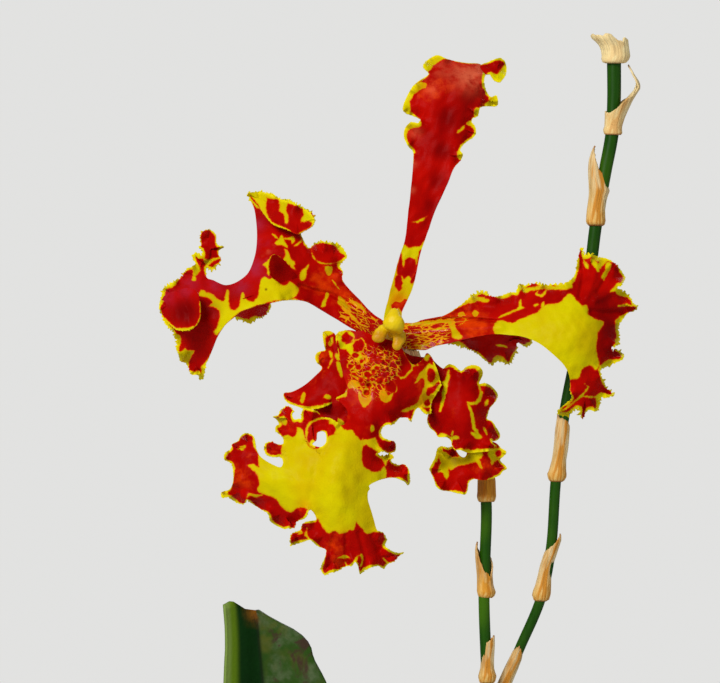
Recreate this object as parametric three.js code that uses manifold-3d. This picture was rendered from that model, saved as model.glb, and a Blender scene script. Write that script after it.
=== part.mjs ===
// A potted butterfly orchid: a clay pot of bark with five pseudobulbs, one leathery mottled leaf on each,
// and a branched, jointed flower stem in papery bracts that carries one open, ruffled bloom.
// Millimetres, +Z up, the origin under the middle of the pot's foot. The bloom faces -Y.
import * as THREE from "three";
import { mergeVertices } from "three/addons/utils/BufferGeometryUtils.js";
import Module from "manifold-3d";

const wasm = await Module();
wasm.setup();

const POT = {
  height: 104,
  topRadius: 60,
  footRadius: 43,
  wall: 5.5,
  floor: 6,
  rimHeight: 22,
  rimOut: 3.5,
  lip: 1.5, // how far its edges are rounded off
  sides: 26,
};
const DRAIN = { radius: 5, ring: 22, count: 3 };
const BARK = { top: 90, gap: 0.4, chips: 18, spread: 47, chip: [17, 10, 6] };
const GAP = 0.35; // between pieces that touch

// The bloom and the stems behind it are drawn on squared paper seen from the front: x to the right, y down.
const SQUARE = 0.22;
const FOOT = { x: 392, y: 335 }; // the column's foot on the paper
const BLOOM = { x: -10, y: -8, z: 395 }; // and in the pot's frame
const EYE = { x: 360, y: 341.5, away: 540 }; // looks straight at this square from before the paper
const PETAL = { thickness: 0.95, cell: 11.1, ruffle: 1.5, ruffleLength: 27, ruffleReach: 13 };

const LOOKS = {
  clay: { color: 0xb5673f, roughness: 0.9 },
  bark: { color: 0x5b3a22, roughness: 0.95 },
  bulb: { color: 0x6f8a2f, roughness: 0.55 },
  leaf: { color: 0x2f5a1e, roughness: 0.4 },
  stem: { color: 0x4f8a1c, roughness: 0.45 },
  paper: { color: 0xe0b479, roughness: 0.8 },
  root: { color: 0xd8d5c2, roughness: 0.8 },
  petal: { color: 0xb81208, roughness: 0.4 },
  lip: { color: 0xe4c80e, roughness: 0.4 },
  column: { color: 0xe8cc12, roughness: 0.45 },
  ovary: { color: 0x9aa03a, roughness: 0.5 },
};

// A small generator of even random numbers, so the scatter is the same every time.
const SCATTER = { multiplier: 48271, modulus: 2147483647 };
let scattered = 20261;
function between(low, high) {
  scattered = (scattered * SCATTER.multiplier) % SCATTER.modulus;
  return low + ((high - low) * scattered) / SCATTER.modulus;
}
const clamp = (v, low, high) => Math.min(high, Math.max(low, v));
const ease = (t) => {
  const u = clamp(t, 0, 1);
  return u * u * (3 - 2 * u);
};

// What lies deeper than the paper spreads from the eye's square, so that it covers the square it is drawn on.
const at = (x, y, depth = 0) => {
  const spread = 1 + depth / EYE.away;
  return new THREE.Vector3(
    BLOOM.x + (EYE.x - FOOT.x + (x - EYE.x) * spread) * SQUARE,
    BLOOM.y + depth,
    BLOOM.z - (EYE.y - FOOT.y + (y - EYE.y) * spread) * SQUARE,
  );
};

// Solids

function geometryOf(positions, faces) {
  return new THREE.BufferGeometry()
    .setAttribute("position", new THREE.Float32BufferAttribute(positions.flatMap((p) => p.toArray()), 3))
    .setIndex(faces.flat());
}

function solid(geometry) {
  const bare = geometry.index ? geometry.toNonIndexed() : geometry.clone();
  bare.deleteAttribute("normal");
  bare.deleteAttribute("uv");
  const merged = mergeVertices(bare, 1e-4);
  return new wasm.Manifold(
    new wasm.Mesh({
      numProp: 3,
      vertProperties: new Float32Array(merged.attributes.position.array),
      triVerts: new Uint32Array(merged.index.array),
    }),
  );
}

const union = (solids) => solids.reduce((whole, next) => whole.add(next));

// The largest connected body: loose scraps left by a coarse outline are dropped.
function mainBody(made) {
  const bodies = made.decompose();
  return bodies.reduce((best, b) => (b.volume() > best.volume() ? b : best));
}

function meshOf(name, made, look) {
  const m = made.getMesh();
  const positions = new Float32Array(m.numVert * 3);
  for (let i = 0; i < m.numVert; i++)
    positions.set(m.vertProperties.subarray(i * m.numProp, i * m.numProp + 3), i * 3);
  const geometry = new THREE.BufferGeometry()
    .setAttribute("position", new THREE.BufferAttribute(positions, 3))
    .setIndex(new THREE.BufferAttribute(new Uint32Array(m.triVerts), 1));
  geometry.computeVertexNormals();
  const mesh = new THREE.Mesh(geometry, new THREE.MeshStandardMaterial({ metalness: 0, ...LOOKS[look] }));
  mesh.name = name;
  return mesh;
}

// A closed skin over rings of equal length, with a flat cap on the first and the last.
function skin(rings) {
  const around = rings[0].length;
  const positions = rings.flat();
  const faces = [];
  for (let i = 0; i + 1 < rings.length; i++)
    for (let j = 0; j < around; j++) {
      const a = i * around + j;
      const b = i * around + ((j + 1) % around);
      faces.push([a, b, b + around], [a, b + around, a + around]);
    }
  const cap = (start, flip) => {
    const centre = positions.length;
    const middle = new THREE.Vector3();
    for (let j = 0; j < around; j++) middle.addScaledVector(positions[start + j], 1 / around);
    positions.push(middle);
    for (let j = 0; j < around; j++) {
      const pair = [start + j, start + ((j + 1) % around)];
      faces.push(flip ? [centre, pair[1], pair[0]] : [centre, pair[0], pair[1]]);
    }
  };
  cap(0, true);
  cap((rings.length - 1) * around, false);
  return outward(geometryOf(positions, faces));
}

// Turns the faces outward, whichever way they were wound.
function outward(geometry) {
  const p = geometry.attributes.position;
  const index = geometry.index.array;
  const [a, b, c] = [new THREE.Vector3(), new THREE.Vector3(), new THREE.Vector3()];
  let volume = 0;
  for (let i = 0; i < index.length; i += 3) {
    a.fromBufferAttribute(p, index[i]);
    b.fromBufferAttribute(p, index[i + 1]);
    c.fromBufferAttribute(p, index[i + 2]);
    volume += a.dot(b.cross(c));
  }
  if (volume < 0) index.reverse();
  return geometry;
}

// Two directions square to a curve at every point, turning as little as they can.
function framesAlong(curve, steps) {
  const frames = curve.computeFrenetFrames(steps, false);
  return Array.from({ length: steps + 1 }, (_, i) => ({
    centre: curve.getPointAt(i / steps),
    side: frames.normals[i],
    front: frames.binormals[i],
    along: frames.tangents[i],
  }));
}

const ringAt = ({ centre, side, front }, radius, sides) =>
  Array.from({ length: sides }, (_, j) => {
    const a = (2 * Math.PI * j) / sides;
    return centre
      .clone()
      .addScaledVector(side, radius * Math.cos(a))
      .addScaledVector(front, radius * Math.sin(a));
  });

const stalk = (curve, steps, sides, radiusAt) =>
  solid(skin(framesAlong(curve, steps).map((f, i) => ringAt(f, radiusAt(i / steps), sides))));

const ball = (centre, radii, turn = new THREE.Euler(), detail = [12, 8]) => {
  const shape = new THREE.SphereGeometry(1, ...detail);
  const place = new THREE.Matrix4().compose(centre, new THREE.Quaternion().setFromEuler(turn), radii);
  return solid(shape.applyMatrix4(place));
};

// Petal sheets

// Keeps the drawn points, and rounds the line between them by four-point subdivision. The third number of a
// point is how strongly the edge is ruffled there.
function rounded(points, rounds = 2) {
  let loop = points.map(([x, y, ruffle = 1]) => [x, y, ruffle]);
  for (let r = 0; r < rounds; r++) {
    const n = loop.length;
    loop = loop.flatMap((p, i) => {
      const [before, next, after] = [loop[(i + n - 1) % n], loop[(i + 1) % n], loop[(i + 2) % n]];
      return [p, p.map((v, k) => (9 * (v + next[k]) - before[k] - after[k]) / 16)];
    });
  }
  return loop;
}

// How far a place lies inside a closed outline, and where on its edge the nearest point is.
function toEdge(x, y, loop) {
  let [inside, nearest, run, length, ruffle] = [false, Infinity, 0, 0, 0];
  loop.forEach(([x1, y1, r1], i) => {
    const [x2, y2, r2] = loop[(i + 1) % loop.length];
    if (y1 > y !== y2 > y && x < x1 + ((y - y1) / (y2 - y1)) * (x2 - x1)) inside = !inside;
    const size = Math.hypot(x2 - x1, y2 - y1);
    const t = clamp(((x - x1) * (x2 - x1) + (y - y1) * (y2 - y1)) / size ** 2, 0, 1);
    const away = Math.hypot(x1 + t * (x2 - x1) - x, y1 + t * (y2 - y1) - y);
    if (away < nearest) [nearest, run, ruffle] = [away, length + t * size, r1 + t * (r2 - r1)];
    length += size;
  });
  return { inset: inside ? nearest : -nearest, run, ruffle: clamp(ruffle, 0, 1), length };
}

// A thin plate bent smoothly through pins [x, y, depth].
function thinPlate(pins) {
  const n = pins.length;
  const scale = 0.01;
  const bend = (dx, dy) => {
    const r2 = (dx * dx + dy * dy) * scale * scale;
    return r2 > 0 ? r2 * Math.log(r2) : 0;
  };
  const rows = pins.map(([x, y, depth]) => [
    ...pins.map((q) => bend(x - q[0], y - q[1])),
    1,
    x * scale,
    y * scale,
    depth,
  ]);
  for (let k = 0; k < 3; k++)
    rows.push([...pins.map(([x, y]) => [1, x * scale, y * scale][k]), 0, 0, 0, 0]);
  const size = n + 3;
  for (let c = 0; c < size; c++) {
    let best = c;
    for (let r = c + 1; r < size; r++) if (Math.abs(rows[r][c]) > Math.abs(rows[best][c])) best = r;
    [rows[c], rows[best]] = [rows[best], rows[c]];
    for (let r = 0; r < size; r++) {
      if (r === c) continue;
      const share = rows[r][c] / rows[c][c];
      for (let k = c; k <= size; k++) rows[r][k] -= share * rows[c][k];
    }
  }
  const weight = rows.map((row, i) => row[size] / row[i]);
  return (x, y) =>
    pins.reduce((sum, q, i) => sum + weight[i] * bend(x - q[0], y - q[1]), 0) +
    weight[n] +
    weight[n + 1] * x * scale +
    weight[n + 2] * y * scale;
}

// A sheet of even thickness over a drawn outline: a grid of triangles is cut along the outline, set to the
// depth of the bent plate, ruffled near the edge and given a back that is split the same way.
function sheet({ edge, holes = [], pins, ruffle = PETAL.ruffle }) {
  const loop = rounded(edge);
  const gaps = holes.map((h) => rounded(h));
  const plate = thinPlate(pins);
  const cell = PETAL.cell;
  const xs = loop.map((p) => p[0]);
  const ys = loop.map((p) => p[1]);
  const [left, top] = [Math.min(...xs) - cell, Math.min(...ys) - cell];
  const columns = Math.ceil((Math.max(...xs) + cell - left) / cell);
  const rowsDown = Math.ceil((Math.max(...ys) + cell - top) / cell);
  const insetAt = (x, y) => Math.min(toEdge(x, y, loop).inset, ...gaps.map((g) => -toEdge(x, y, g).inset));
  const grid = [];
  for (let r = 0; r <= rowsDown; r++)
    for (let c = 0; c <= columns; c++) {
      const shift = r % 2 ? cell / 2 : 0; // rows staggered, so the triangles are near equal-sided
      const [x, y] = [left + c * cell + shift, top + r * cell];
      grid.push({ x, y, inset: insetAt(x, y) || 1e-6 });
    }
  const points = [];
  const known = new Map();
  const keep = (key, x, y) => {
    if (!known.has(key)) known.set(key, points.push([x, y]) - 1);
    return known.get(key);
  };
  const corner = (i) => keep(`${i}`, grid[i].x, grid[i].y);
  const crossing = (i, j) => {
    const [a, b] = i < j ? [i, j] : [j, i];
    const t = clamp(grid[a].inset / (grid[a].inset - grid[b].inset), 0.2, 0.8);
    return keep(
      `${a}_${b}`,
      grid[a].x + t * (grid[b].x - grid[a].x),
      grid[a].y + t * (grid[b].y - grid[a].y),
    );
  };
  const front = [];
  const cut = (triangle) => {
    const ring = [];
    triangle.forEach((i, k) => {
      const j = triangle[(k + 1) % 3];
      if (grid[i].inset > 0) ring.push(corner(i));
      if (grid[i].inset > 0 !== grid[j].inset > 0) ring.push(crossing(i, j));
    });
    for (let k = 2; k < ring.length; k++) front.push([ring[0], ring[k - 1], ring[k]]);
  };
  const wide = columns + 1;
  for (let r = 0; r < rowsDown; r++)
    for (let c = 0; c < columns; c++) {
      const [a, b, d, e] = [r * wide + c, r * wide + c + 1, (r + 1) * wide + c, (r + 1) * wide + c + 1];
      if (r % 2) [[a, b, e], [a, e, d]].forEach(cut);
      else [[a, b, d], [b, e, d]].forEach(cut);
    }
  const depthAt = (x, y) => {
    const { inset, run, ruffle: strength, length } = toEdge(x, y, loop);
    const waves = Math.max(1, Math.round(length / PETAL.ruffleLength));
    const fade = ease(1 - Math.max(inset, 0) / PETAL.ruffleReach);
    return plate(x, y) + ruffle * strength * fade * Math.sin((2 * Math.PI * waves * run) / length);
  };
  const fronts = points.map(([x, y]) => at(x, y, depthAt(x, y)));
  const backs = fronts.map((p) => p.clone().add(new THREE.Vector3(0, PETAL.thickness, 0)));
  const n = points.length;
  const faces = [...front, ...front.map(([a, b, c]) => [a + n, c + n, b + n])];
  const sides = new Set(front.flatMap(([a, b, c]) => [`${a} ${b}`, `${b} ${c}`, `${c} ${a}`]));
  for (const side of sides) {
    const [a, b] = side.split(" ").map(Number);
    if (!sides.has(`${b} ${a}`)) faces.push([b, a, a + n], [b, a + n, b + n]);
  }
  return mainBody(solid(outward(geometryOf([...fronts, ...backs], faces))));
}

const organ = (name, sheets, look, extras = []) =>
  meshOf(name, mainBody(union([...sheets.map(sheet), ...extras])), look);

// Drawings of the bloom's organs

const DORSAL_SEPAL = [
  {
    ruffle: 1.2,
    edge: [
      [385, 321, 0], [388, 302, 0], [392, 285, 0], [397, 264, 0], [402, 247, 0], [406, 230, 0], [409, 208, 0],
      [411, 188, 0], [413, 165, 0], [412, 153], [405, 144], [404, 134], [408, 125], [417, 122], [419, 117],
      [404, 112], [404, 102], [410, 89], [419, 80], [427, 75], [423, 67], [430, 58], [438, 55], [447, 59],
      [461, 62, 0.3], [476, 62, 0.3], [487, 66], [483, 79], [487, 91], [493, 97], [498, 98], [497, 106],
      [484, 107], [478, 116], [472, 122], [477, 131], [472, 139], [462, 147], [462, 156], [454, 166, 0.3],
      [448, 182, 0], [440, 202, 0], [431, 222, 0], [425, 240, 0], [419, 262, 0], [414, 284, 0], [407, 303, 0],
      [402, 321, 0],
    ],
    pins: [
      [393, 318, 1.4], [399, 290, 1.8], [410, 240, 3], [424, 240, 3.2], [411, 190, 4], [430, 190, 5.2],
      [446, 188, 4.4], [441, 140, 6.6], [405, 136, 8.5], [405, 106, 9], [444, 105, 8], [470, 130, 8.5],
      [440, 78, 10], [468, 85, 9.5], [430, 58, 14], [470, 63, 15], [490, 100, 12],
    ],
  },
  {
    ruffle: 0.8,
    edge: [
      [480, 68, 0], [488, 61], [496, 58], [504, 61], [506, 70], [503, 79], [497, 82], [490, 78], [489, 71],
      [484, 73, 0],
    ],
    pins: [[482, 70, 13.6], [495, 60, 15.5], [505, 70, 15], [497, 80, 12]],
  },
];

const LEFT_PETAL = [
  {
    edge: [
      [380.5, 326, 0], [380.5, 336, 0], [370, 337, 0], [360, 334, 0], [350, 328, 0], [338, 321, 0],
      [325, 312, 0], [312, 304, 0], [298, 300, 0], [282, 301, 0.3], [268, 303, 0.3], [252, 309, 0],
      [238, 315, 0], [226, 324, 0], [218, 335, 0], [213, 347, 0.2], [208, 360, 0.5], [204, 378],
      [197, 376], [189, 371],
      [181, 361], [176, 348], [174, 334], [165, 322], [160, 309], [161, 297], [165, 288], [175, 282],
      [184, 277], [190, 268], [196, 264], [193, 256], [201, 254], [200, 244], [204, 232], [211, 231],
      [216, 240], [223, 248], [220, 258], [216, 268], [208, 267], [208, 279, 0.4], [220, 284, 0],
      [232, 284, 0], [244, 276, 0], [252, 264, 0], [256, 249, 0], [257, 232, 0], [254, 212, 0], [249, 196],
      [258, 192], [272, 195], [283, 201], [296, 204], [310, 212], [313, 222], [302, 232], [303, 241],
      [311, 248], [321, 242], [334, 243], [345, 252], [344, 260], [340, 267], [342, 279, 0], [352, 292, 0],
      [364, 305, 0], [375, 318, 0],
    ],
    pins: [
      [376, 329, 0.6], [352, 316, -0.6], [352, 298, 1.6], [322, 302, -0.4], [322, 282, 0.8], [300, 293, -2.5],
      [270, 291, -4.5], [240, 300, -4.2], [215, 312, -3], [205, 345, -0.5], [200, 374, 3], [176, 310, -1],
      [162, 300, 2], [190, 284, 1.5], [207, 256, 6], [209, 235, 9], [235, 287, 1.5], [256, 245, 6],
      [252, 200, 11], [285, 212, 9], [310, 218, 9], [285, 250, 1.8], [320, 258, 2.4], [338, 250, 5],
    ],
  },
  {
    edge: [
      [176, 291, 0], [186, 288, 0.5], [197, 291], [199, 303], [200, 316], [197, 326], [187, 330], [175, 328],
      [166, 320, 0.4], [161, 309, 0], [162, 299, 0], [168, 292, 0],
    ],
    ruffle: 0.7,
    pins: [
      [163, 303, 1.3], [168, 318, -1.4], [178, 291, -1], [198, 295, -5.5], [200, 314, -7], [186, 328, -6],
    ],
  },
  {
    edge: [
      [296, 280, 0], [286, 284, 0], [276, 280], [268, 274], [267, 265], [271, 257], [279, 255], [286, 262],
      [293, 270, 0.4],
    ],
    ruffle: 0.8,
    pins: [[292, 277, -2.4], [280, 281, -3.4], [268, 270, -7.5], [274, 257, -7], [284, 262, -4.5]],
  },
  {
    edge: [
      [252, 197, 0], [262, 193], [272, 195], [283, 200], [296, 203], [309, 211], [314, 220], [306, 230],
      [297, 234], [286, 229], [274, 225], [266, 217, 0.3], [259, 208, 0],
    ],
    ruffle: 1,
    pins: [
      [256, 200, 10.6], [264, 212, 8.2], [276, 224, 3], [297, 232, 1.5], [285, 206, 5.5], [311, 218, 3.4],
    ],
  },
  {
    edge: [
      [234, 317], [244, 320], [249, 323], [256, 318], [266, 313], [271, 304], [264, 295, 0], [250, 294, 0],
      [238, 302, 0],
    ],
    ruffle: 0.8,
    pins: [
      [255, 296, -4.2], [240, 307, -2], [268, 300, -2.6], [250, 320, 3.5], [268, 308, 1.5], [238, 317, 1],
    ],
  },
];

const RIGHT_PETAL = [
  {
    edge: [
      [405, 328, 0], [420, 321, 0], [438, 317, 0], [452, 311, 0], [464, 302, 0.4], [476, 294], [484, 292],
      [492, 297], [503, 295], [516, 292], [520, 283], [531, 285], [543, 284], [556, 285], [568, 281],
      [575, 271], [579, 258], [583, 249], [590, 254], [600, 257], [611, 260], [619, 267], [625, 278],
      [619, 287], [630, 296], [637, 306], [625, 316], [620, 326], [619, 341], [612, 349], [623, 354],
      [614, 363], [601, 370, 0.5], [605, 382], [613, 395], [601, 399], [597, 411], [588, 410], [583, 418],
      [578, 408], [567, 415], [558, 414], [564, 405], [571, 397, 0.5], [570, 382, 0], [567, 370, 0],
      [558, 358, 0], [546, 348, 0], [532, 340, 0], [515, 335, 0], [495, 334, 0], [475, 337, 0], [455, 342, 0],
      [435, 346, 0], [418, 349, 0], [406, 346, 0],
    ],
    pins: [
      [408, 338, 0.6], [430, 333, -0.6], [455, 325, -1.2], [462, 306, 1.4], [500, 326, -3.6], [500, 300, 0.6],
      [540, 326, -6], [540, 290, -0.4], [575, 335, -7.5], [572, 300, -4], [578, 368, -6.5], [600, 335, -4.4],
      [617, 335, 0.5], [585, 398, -4], [562, 411, -1], [606, 394, -1], [600, 300, -2], [632, 306, 3],
      [622, 278, 3.5], [583, 255, 4], [605, 262, 3.5],
    ],
  },
  {
    edge: [
      [442, 336, 0], [448, 344], [459, 346], [470, 350], [480, 356], [489, 362], [498, 361], [508, 362],
      [516, 352], [519, 344], [530, 343], [524, 334, 0], [508, 327, 0], [486, 325, 0], [462, 328, 0],
    ],
    pins: [
      [450, 333, -0.6], [485, 328, -2.5], [515, 331, -3.8], [450, 343, 2], [476, 351, 4], [494, 361, 6.5],
      [512, 356, 5], [528, 341, 1],
    ],
  },
];

const LIP = [
  {
    edge: [
      [337, 334], [346, 331, 0.5], [356, 337, 0], [368, 344, 0], [382, 347, 0], [394, 350, 0],
      [405, 357, 0.5], [413, 365], [420, 358], [427, 354], [434, 362], [438, 372], [440, 382],
      [436, 393], [431, 402],
      [430, 412], [420, 408], [414, 414], [410, 421], [399, 418], [388, 425], [382, 432], [388, 440],
      [395, 443], [395, 451], [384, 451], [378, 455], [388, 457], [396, 464], [405, 466], [410, 475],
      [404, 481], [390, 478, 0.5], [378, 481, 0.3], [368, 490, 0], [369, 503, 0], [374, 519, 0], [378, 531],
      [387, 542], [395, 552], [403, 554], [390, 563], [379, 566], [366, 571], [358, 571], [354, 562],
      [341, 568], [327, 574], [322, 567], [326, 555], [320, 547, 0.5], [308, 541], [294, 544], [292, 534],
      [302, 528], [311, 521], [318, 520, 0.3], [315, 512, 0.3], [306, 516], [296, 523], [284, 528],
      [271, 522], [266, 512], [249, 502], [237, 503], [223, 498], [231, 489, 0.5], [234, 476],
      [232, 464], [225, 456],
      [234, 445], [243, 434], [254, 438], [258, 452], [270, 462, 0], [281, 466, 0], [281, 457], [267, 455],
      [266, 443], [282, 445, 0.5], [282, 435], [275, 429], [276, 418], [284, 408], [293, 405], [302, 409],
      [313, 410], [323, 417], [336, 421], [343, 428, 0], [347, 418, 0], [345, 407, 0], [337, 398, 0.3],
      [346, 392, 0], [346, 380, 0], [341, 368, 0.3], [338, 352, 0.5],
    ],
    holes: [
      [[319, 431], [325, 434], [326, 442], [317, 447], [313, 441], [317, 435]],
      [[292, 413], [297, 413], [299, 418], [294, 419]],
    ],
    pins: [
      [338, 338, -1.5], [365, 346, -3.6], [394, 354, -3.6], [346, 390, -4], [378, 380, -5], [412, 380, -4],
      [430, 360, 0], [438, 380, -1], [428, 405, -1.5], [385, 410, -6.5], [352, 415, -6.5], [400, 416, -4],
      [375, 435, -8.5], [392, 445, -5.5], [346, 450, -12], [330, 490, -13.5], [362, 500, -11.5],
      [400, 472, -6.5], [345, 525, -13], [378, 540, -9], [400, 553, -5], [330, 568, -9], [362, 568, -9.5],
      [300, 538, -7], [305, 485, -11], [270, 480, -8.5], [240, 485, -5], [226, 495, -2], [244, 442, -3],
      [270, 448, -5], [300, 450, -8.5], [290, 420, -6], [278, 420, -3.5], [312, 420, -7.5], [336, 426, -7.5],
      [284, 520, -6], [255, 503, -4.5],
    ],
  },
];

const LEFT_LATERAL_SEPAL = [
  {
    edge: [
      [334, 334], [324, 334], [325, 347], [317, 353], [317, 362], [322, 369, 0.3], [313, 379, 0],
      [302, 388, 0], [290, 393], [285, 398], [294, 406], [307, 409], [320, 408], [334, 402], [343, 396, 0.5],
      [350, 385, 0], [362, 372, 0], [378, 362, 0], [389, 352, 0], [389, 346, 0], [380, 346, 0],
      [366, 352, 0], [350, 358, 0], [342, 352, 0],
    ],
    ruffle: 1,
    pins: [
      [385, 350, 2.4], [360, 362, 2.2], [345, 358, 1.6], [328, 336, 2.5], [318, 356, 3.4], [330, 372, 0],
      [310, 388, 1], [287, 397, 3], [305, 405, -1], [325, 402, -1.6],
    ],
  },
  {
    edge: [
      [318, 399, 0], [334, 394, 0], [345, 401, 0.4], [349, 414, 0.4], [345, 427], [334, 429], [322, 421],
      [313, 409, 0.4],
    ],
    ruffle: 0.6,
    pins: [[325, 398, -0.6], [340, 400, 0.4], [346, 424, 2.5], [332, 426, 1.5], [318, 412, 1]],
  },
];

const RIGHT_LATERAL_SEPAL = [
  {
    edge: [
      [395, 347, 0], [402, 351, 0], [412, 361, 0], [426, 372, 0], [438, 372, 0.3], [445, 367], [452, 365],
      [461, 371], [470, 366], [480, 367], [483, 375], [479, 384], [489, 385], [497, 393], [494, 403],
      [488, 413], [494, 423], [500, 433], [494, 441], [496, 446], [489, 451], [477, 453], [465, 452],
      [455, 449],
      [450, 440], [438, 437, 0.5], [430, 428, 0.3], [427, 416, 0.3], [431, 400, 0], [425, 388, 0],
      [412, 378, 0], [400, 366, 0], [395, 356, 0],
    ],
    pins: [
      [398, 352, 3], [420, 376, 3], [438, 385, 2.4], [448, 368, 3], [460, 380, 0.5], [478, 370, 2],
      [492, 390, 4], [474, 405, -1], [496, 432, 4], [440, 420, 0.5], [462, 430, -2], [440, 436, 2],
      [478, 449, -1], [494, 447, 1],
    ],
  },
  {
    edge: [
      [440, 448], [436, 455], [432, 467], [434, 478], [440, 489], [452, 491], [465, 494], [469, 482],
      [480, 480], [494, 478], [504, 471], [504, 462], [500, 452], [496, 443, 0], [484, 440, 0],
      [470, 444, 0], [464, 455, 0.4], [456, 453, 0.6], [449, 448],
    ],
    pins: [
      [476, 445, -0.4], [494, 447, 1.4], [466, 456, 3.4], [438, 452, 5], [434, 470, 3], [445, 485, 2],
      [464, 490, 2.6], [485, 468, 0.5], [503, 468, 2.4], [450, 462, 6],
    ],
  },
];

// The warty crest on the lip, in front of its plate: a low dome, on paper squares, with warts in rows on it.
const CREST = { x: 376, y: 371, dome: -5.6, crown: -8.3, fall: 0.006, rows: 4, step: 11.5, reach: 22 };
const WART = { small: 0.9, large: 1.3, deep: 1.3 };
function crest() {
  const dome = new THREE.Vector3(5.6, 3, 5.6);
  const warts = [ball(at(CREST.x, CREST.y, CREST.dome), dome)];
  for (let r = 0; r < CREST.rows; r++)
    for (let c = 0; c < CREST.rows; c++) {
      const x = CREST.x + (c - 1.74 + (r % 2) / 2) * CREST.step;
      const y = CREST.y + (r - 1.22) * CREST.step;
      const away = Math.hypot(x - CREST.x, y - CREST.y);
      if (away > CREST.reach) continue;
      const size = between(WART.small, WART.large);
      const place = at(x, y, CREST.crown + CREST.fall * away ** 2);
      warts.push(ball(place, new THREE.Vector3(size, WART.deep, size), new THREE.Euler(), [6, 4]));
    }
  return warts;
}

function column() {
  const middle = new THREE.CatmullRomCurve3([at(393, 331, -1.6), at(393, 327, -5), at(393, 323, -8.2)]);
  return union([
    stalk(middle, 3, 10, (t) => 2.1 - 0.3 * t),
    ball(at(393.5, 321, -9.4), new THREE.Vector3(2.35, 2, 2.9), new THREE.Euler(0.25, 0, 0), [10, 6]),
    ball(at(394, 312, -8.6), new THREE.Vector3(1.2, 1.2, 1.1), new THREE.Euler(), [8, 5]),
    ball(at(380, 336, -7), new THREE.Vector3(1.7, 1.3, 1.8), new THREE.Euler(), [8, 5]),
    ball(at(398.5, 341, -7), new THREE.Vector3(1.5, 1.3, 2.2), new THREE.Euler(), [8, 5]),
    stalk(new THREE.LineCurve3(at(392, 330, -5), at(381, 335, -6.8)), 1, 6, () => 1.1),
    stalk(new THREE.LineCurve3(at(394, 330, -5), at(398, 339, -6.8)), 1, 6, () => 1.1),
  ]);
}

// The stems

const RACHIS_TIP = at(419, 358, 12);
const BRANCH_POINT = at(488, 752, 12);
const PEDUNCLE = new THREE.CatmullRomCurve3([
  new THREE.Vector3(18, 6, 74),
  new THREE.Vector3(18, 5.5, 110),
  new THREE.Vector3(14, 4, 170),
  new THREE.Vector3(10.5, 3.4, 240),
  BRANCH_POINT,
]);
const FLOWERING_RACHIS = new THREE.CatmullRomCurve3([
  at(488, 760, 12), at(489, 718, 12), at(487, 678, 12), at(484, 598, 11.6), at(485, 560, 12),
  at(486, 499, 12), at(479, 452, 12.6), at(463, 418, 13), at(445, 390, 13), at(430, 370, 12.5), RACHIS_TIP,
]);
const SPENT_RACHIS = new THREE.CatmullRomCurve3([
  at(488, 760, 12), at(493, 722, 14.2), at(504, 686, 16.2), at(519, 650, 15.8), at(541, 598, 14.6),
  at(551, 548, 14), at(556, 479, 14), at(565, 410, 14), at(578, 345, 14), at(589, 280, 14), at(596, 224, 14),
  at(605, 172, 14), at(612, 134, 14), at(614, 100, 14), at(614, 62, 14), at(614, 52, 14),
]);
const STEM_RADII = new Map([
  [PEDUNCLE, (t) => 1.75 - 0.35 * t],
  [FLOWERING_RACHIS, () => 1.25],
  [SPENT_RACHIS, (t) => 1.12 + 0.5 * t * t],
]);
const STEM = { sides: 8, step: 8.6 };

function flowerStem() {
  const stalks = [...STEM_RADII].map(([curve, radiusAt]) =>
    stalk(curve, Math.round(curve.getLength() / STEM.step), STEM.sides, radiusAt),
  );
  const fork = ball(BRANCH_POINT, new THREE.Vector3(2.1, 2.1, 2.6), new THREE.Euler(), [10, 6]);
  return union([...stalks, fork]);
}

const nearestOn = (curve, place) => {
  const steps = 400;
  let [best, shortest] = [0, Infinity];
  for (let i = 0; i <= steps; i++) {
    const away = curve.getPointAt(i / steps).distanceTo(place);
    if (away < shortest) [best, shortest] = [i / steps, away];
  }
  return best;
};

// A papery bract that clasps the stem at a joint: a swollen ring at its foot, then a thin sheath that opens
// on one side and runs up to a point on the other. facing turns the point: 0 right, 90 towards the front.
const BRACT = { facets: 1.13, wall: 0.6, ring: 0.9, ringLength: 1.1, around: 9, rise: [0, 0.1, 0.4, 1] };

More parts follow.
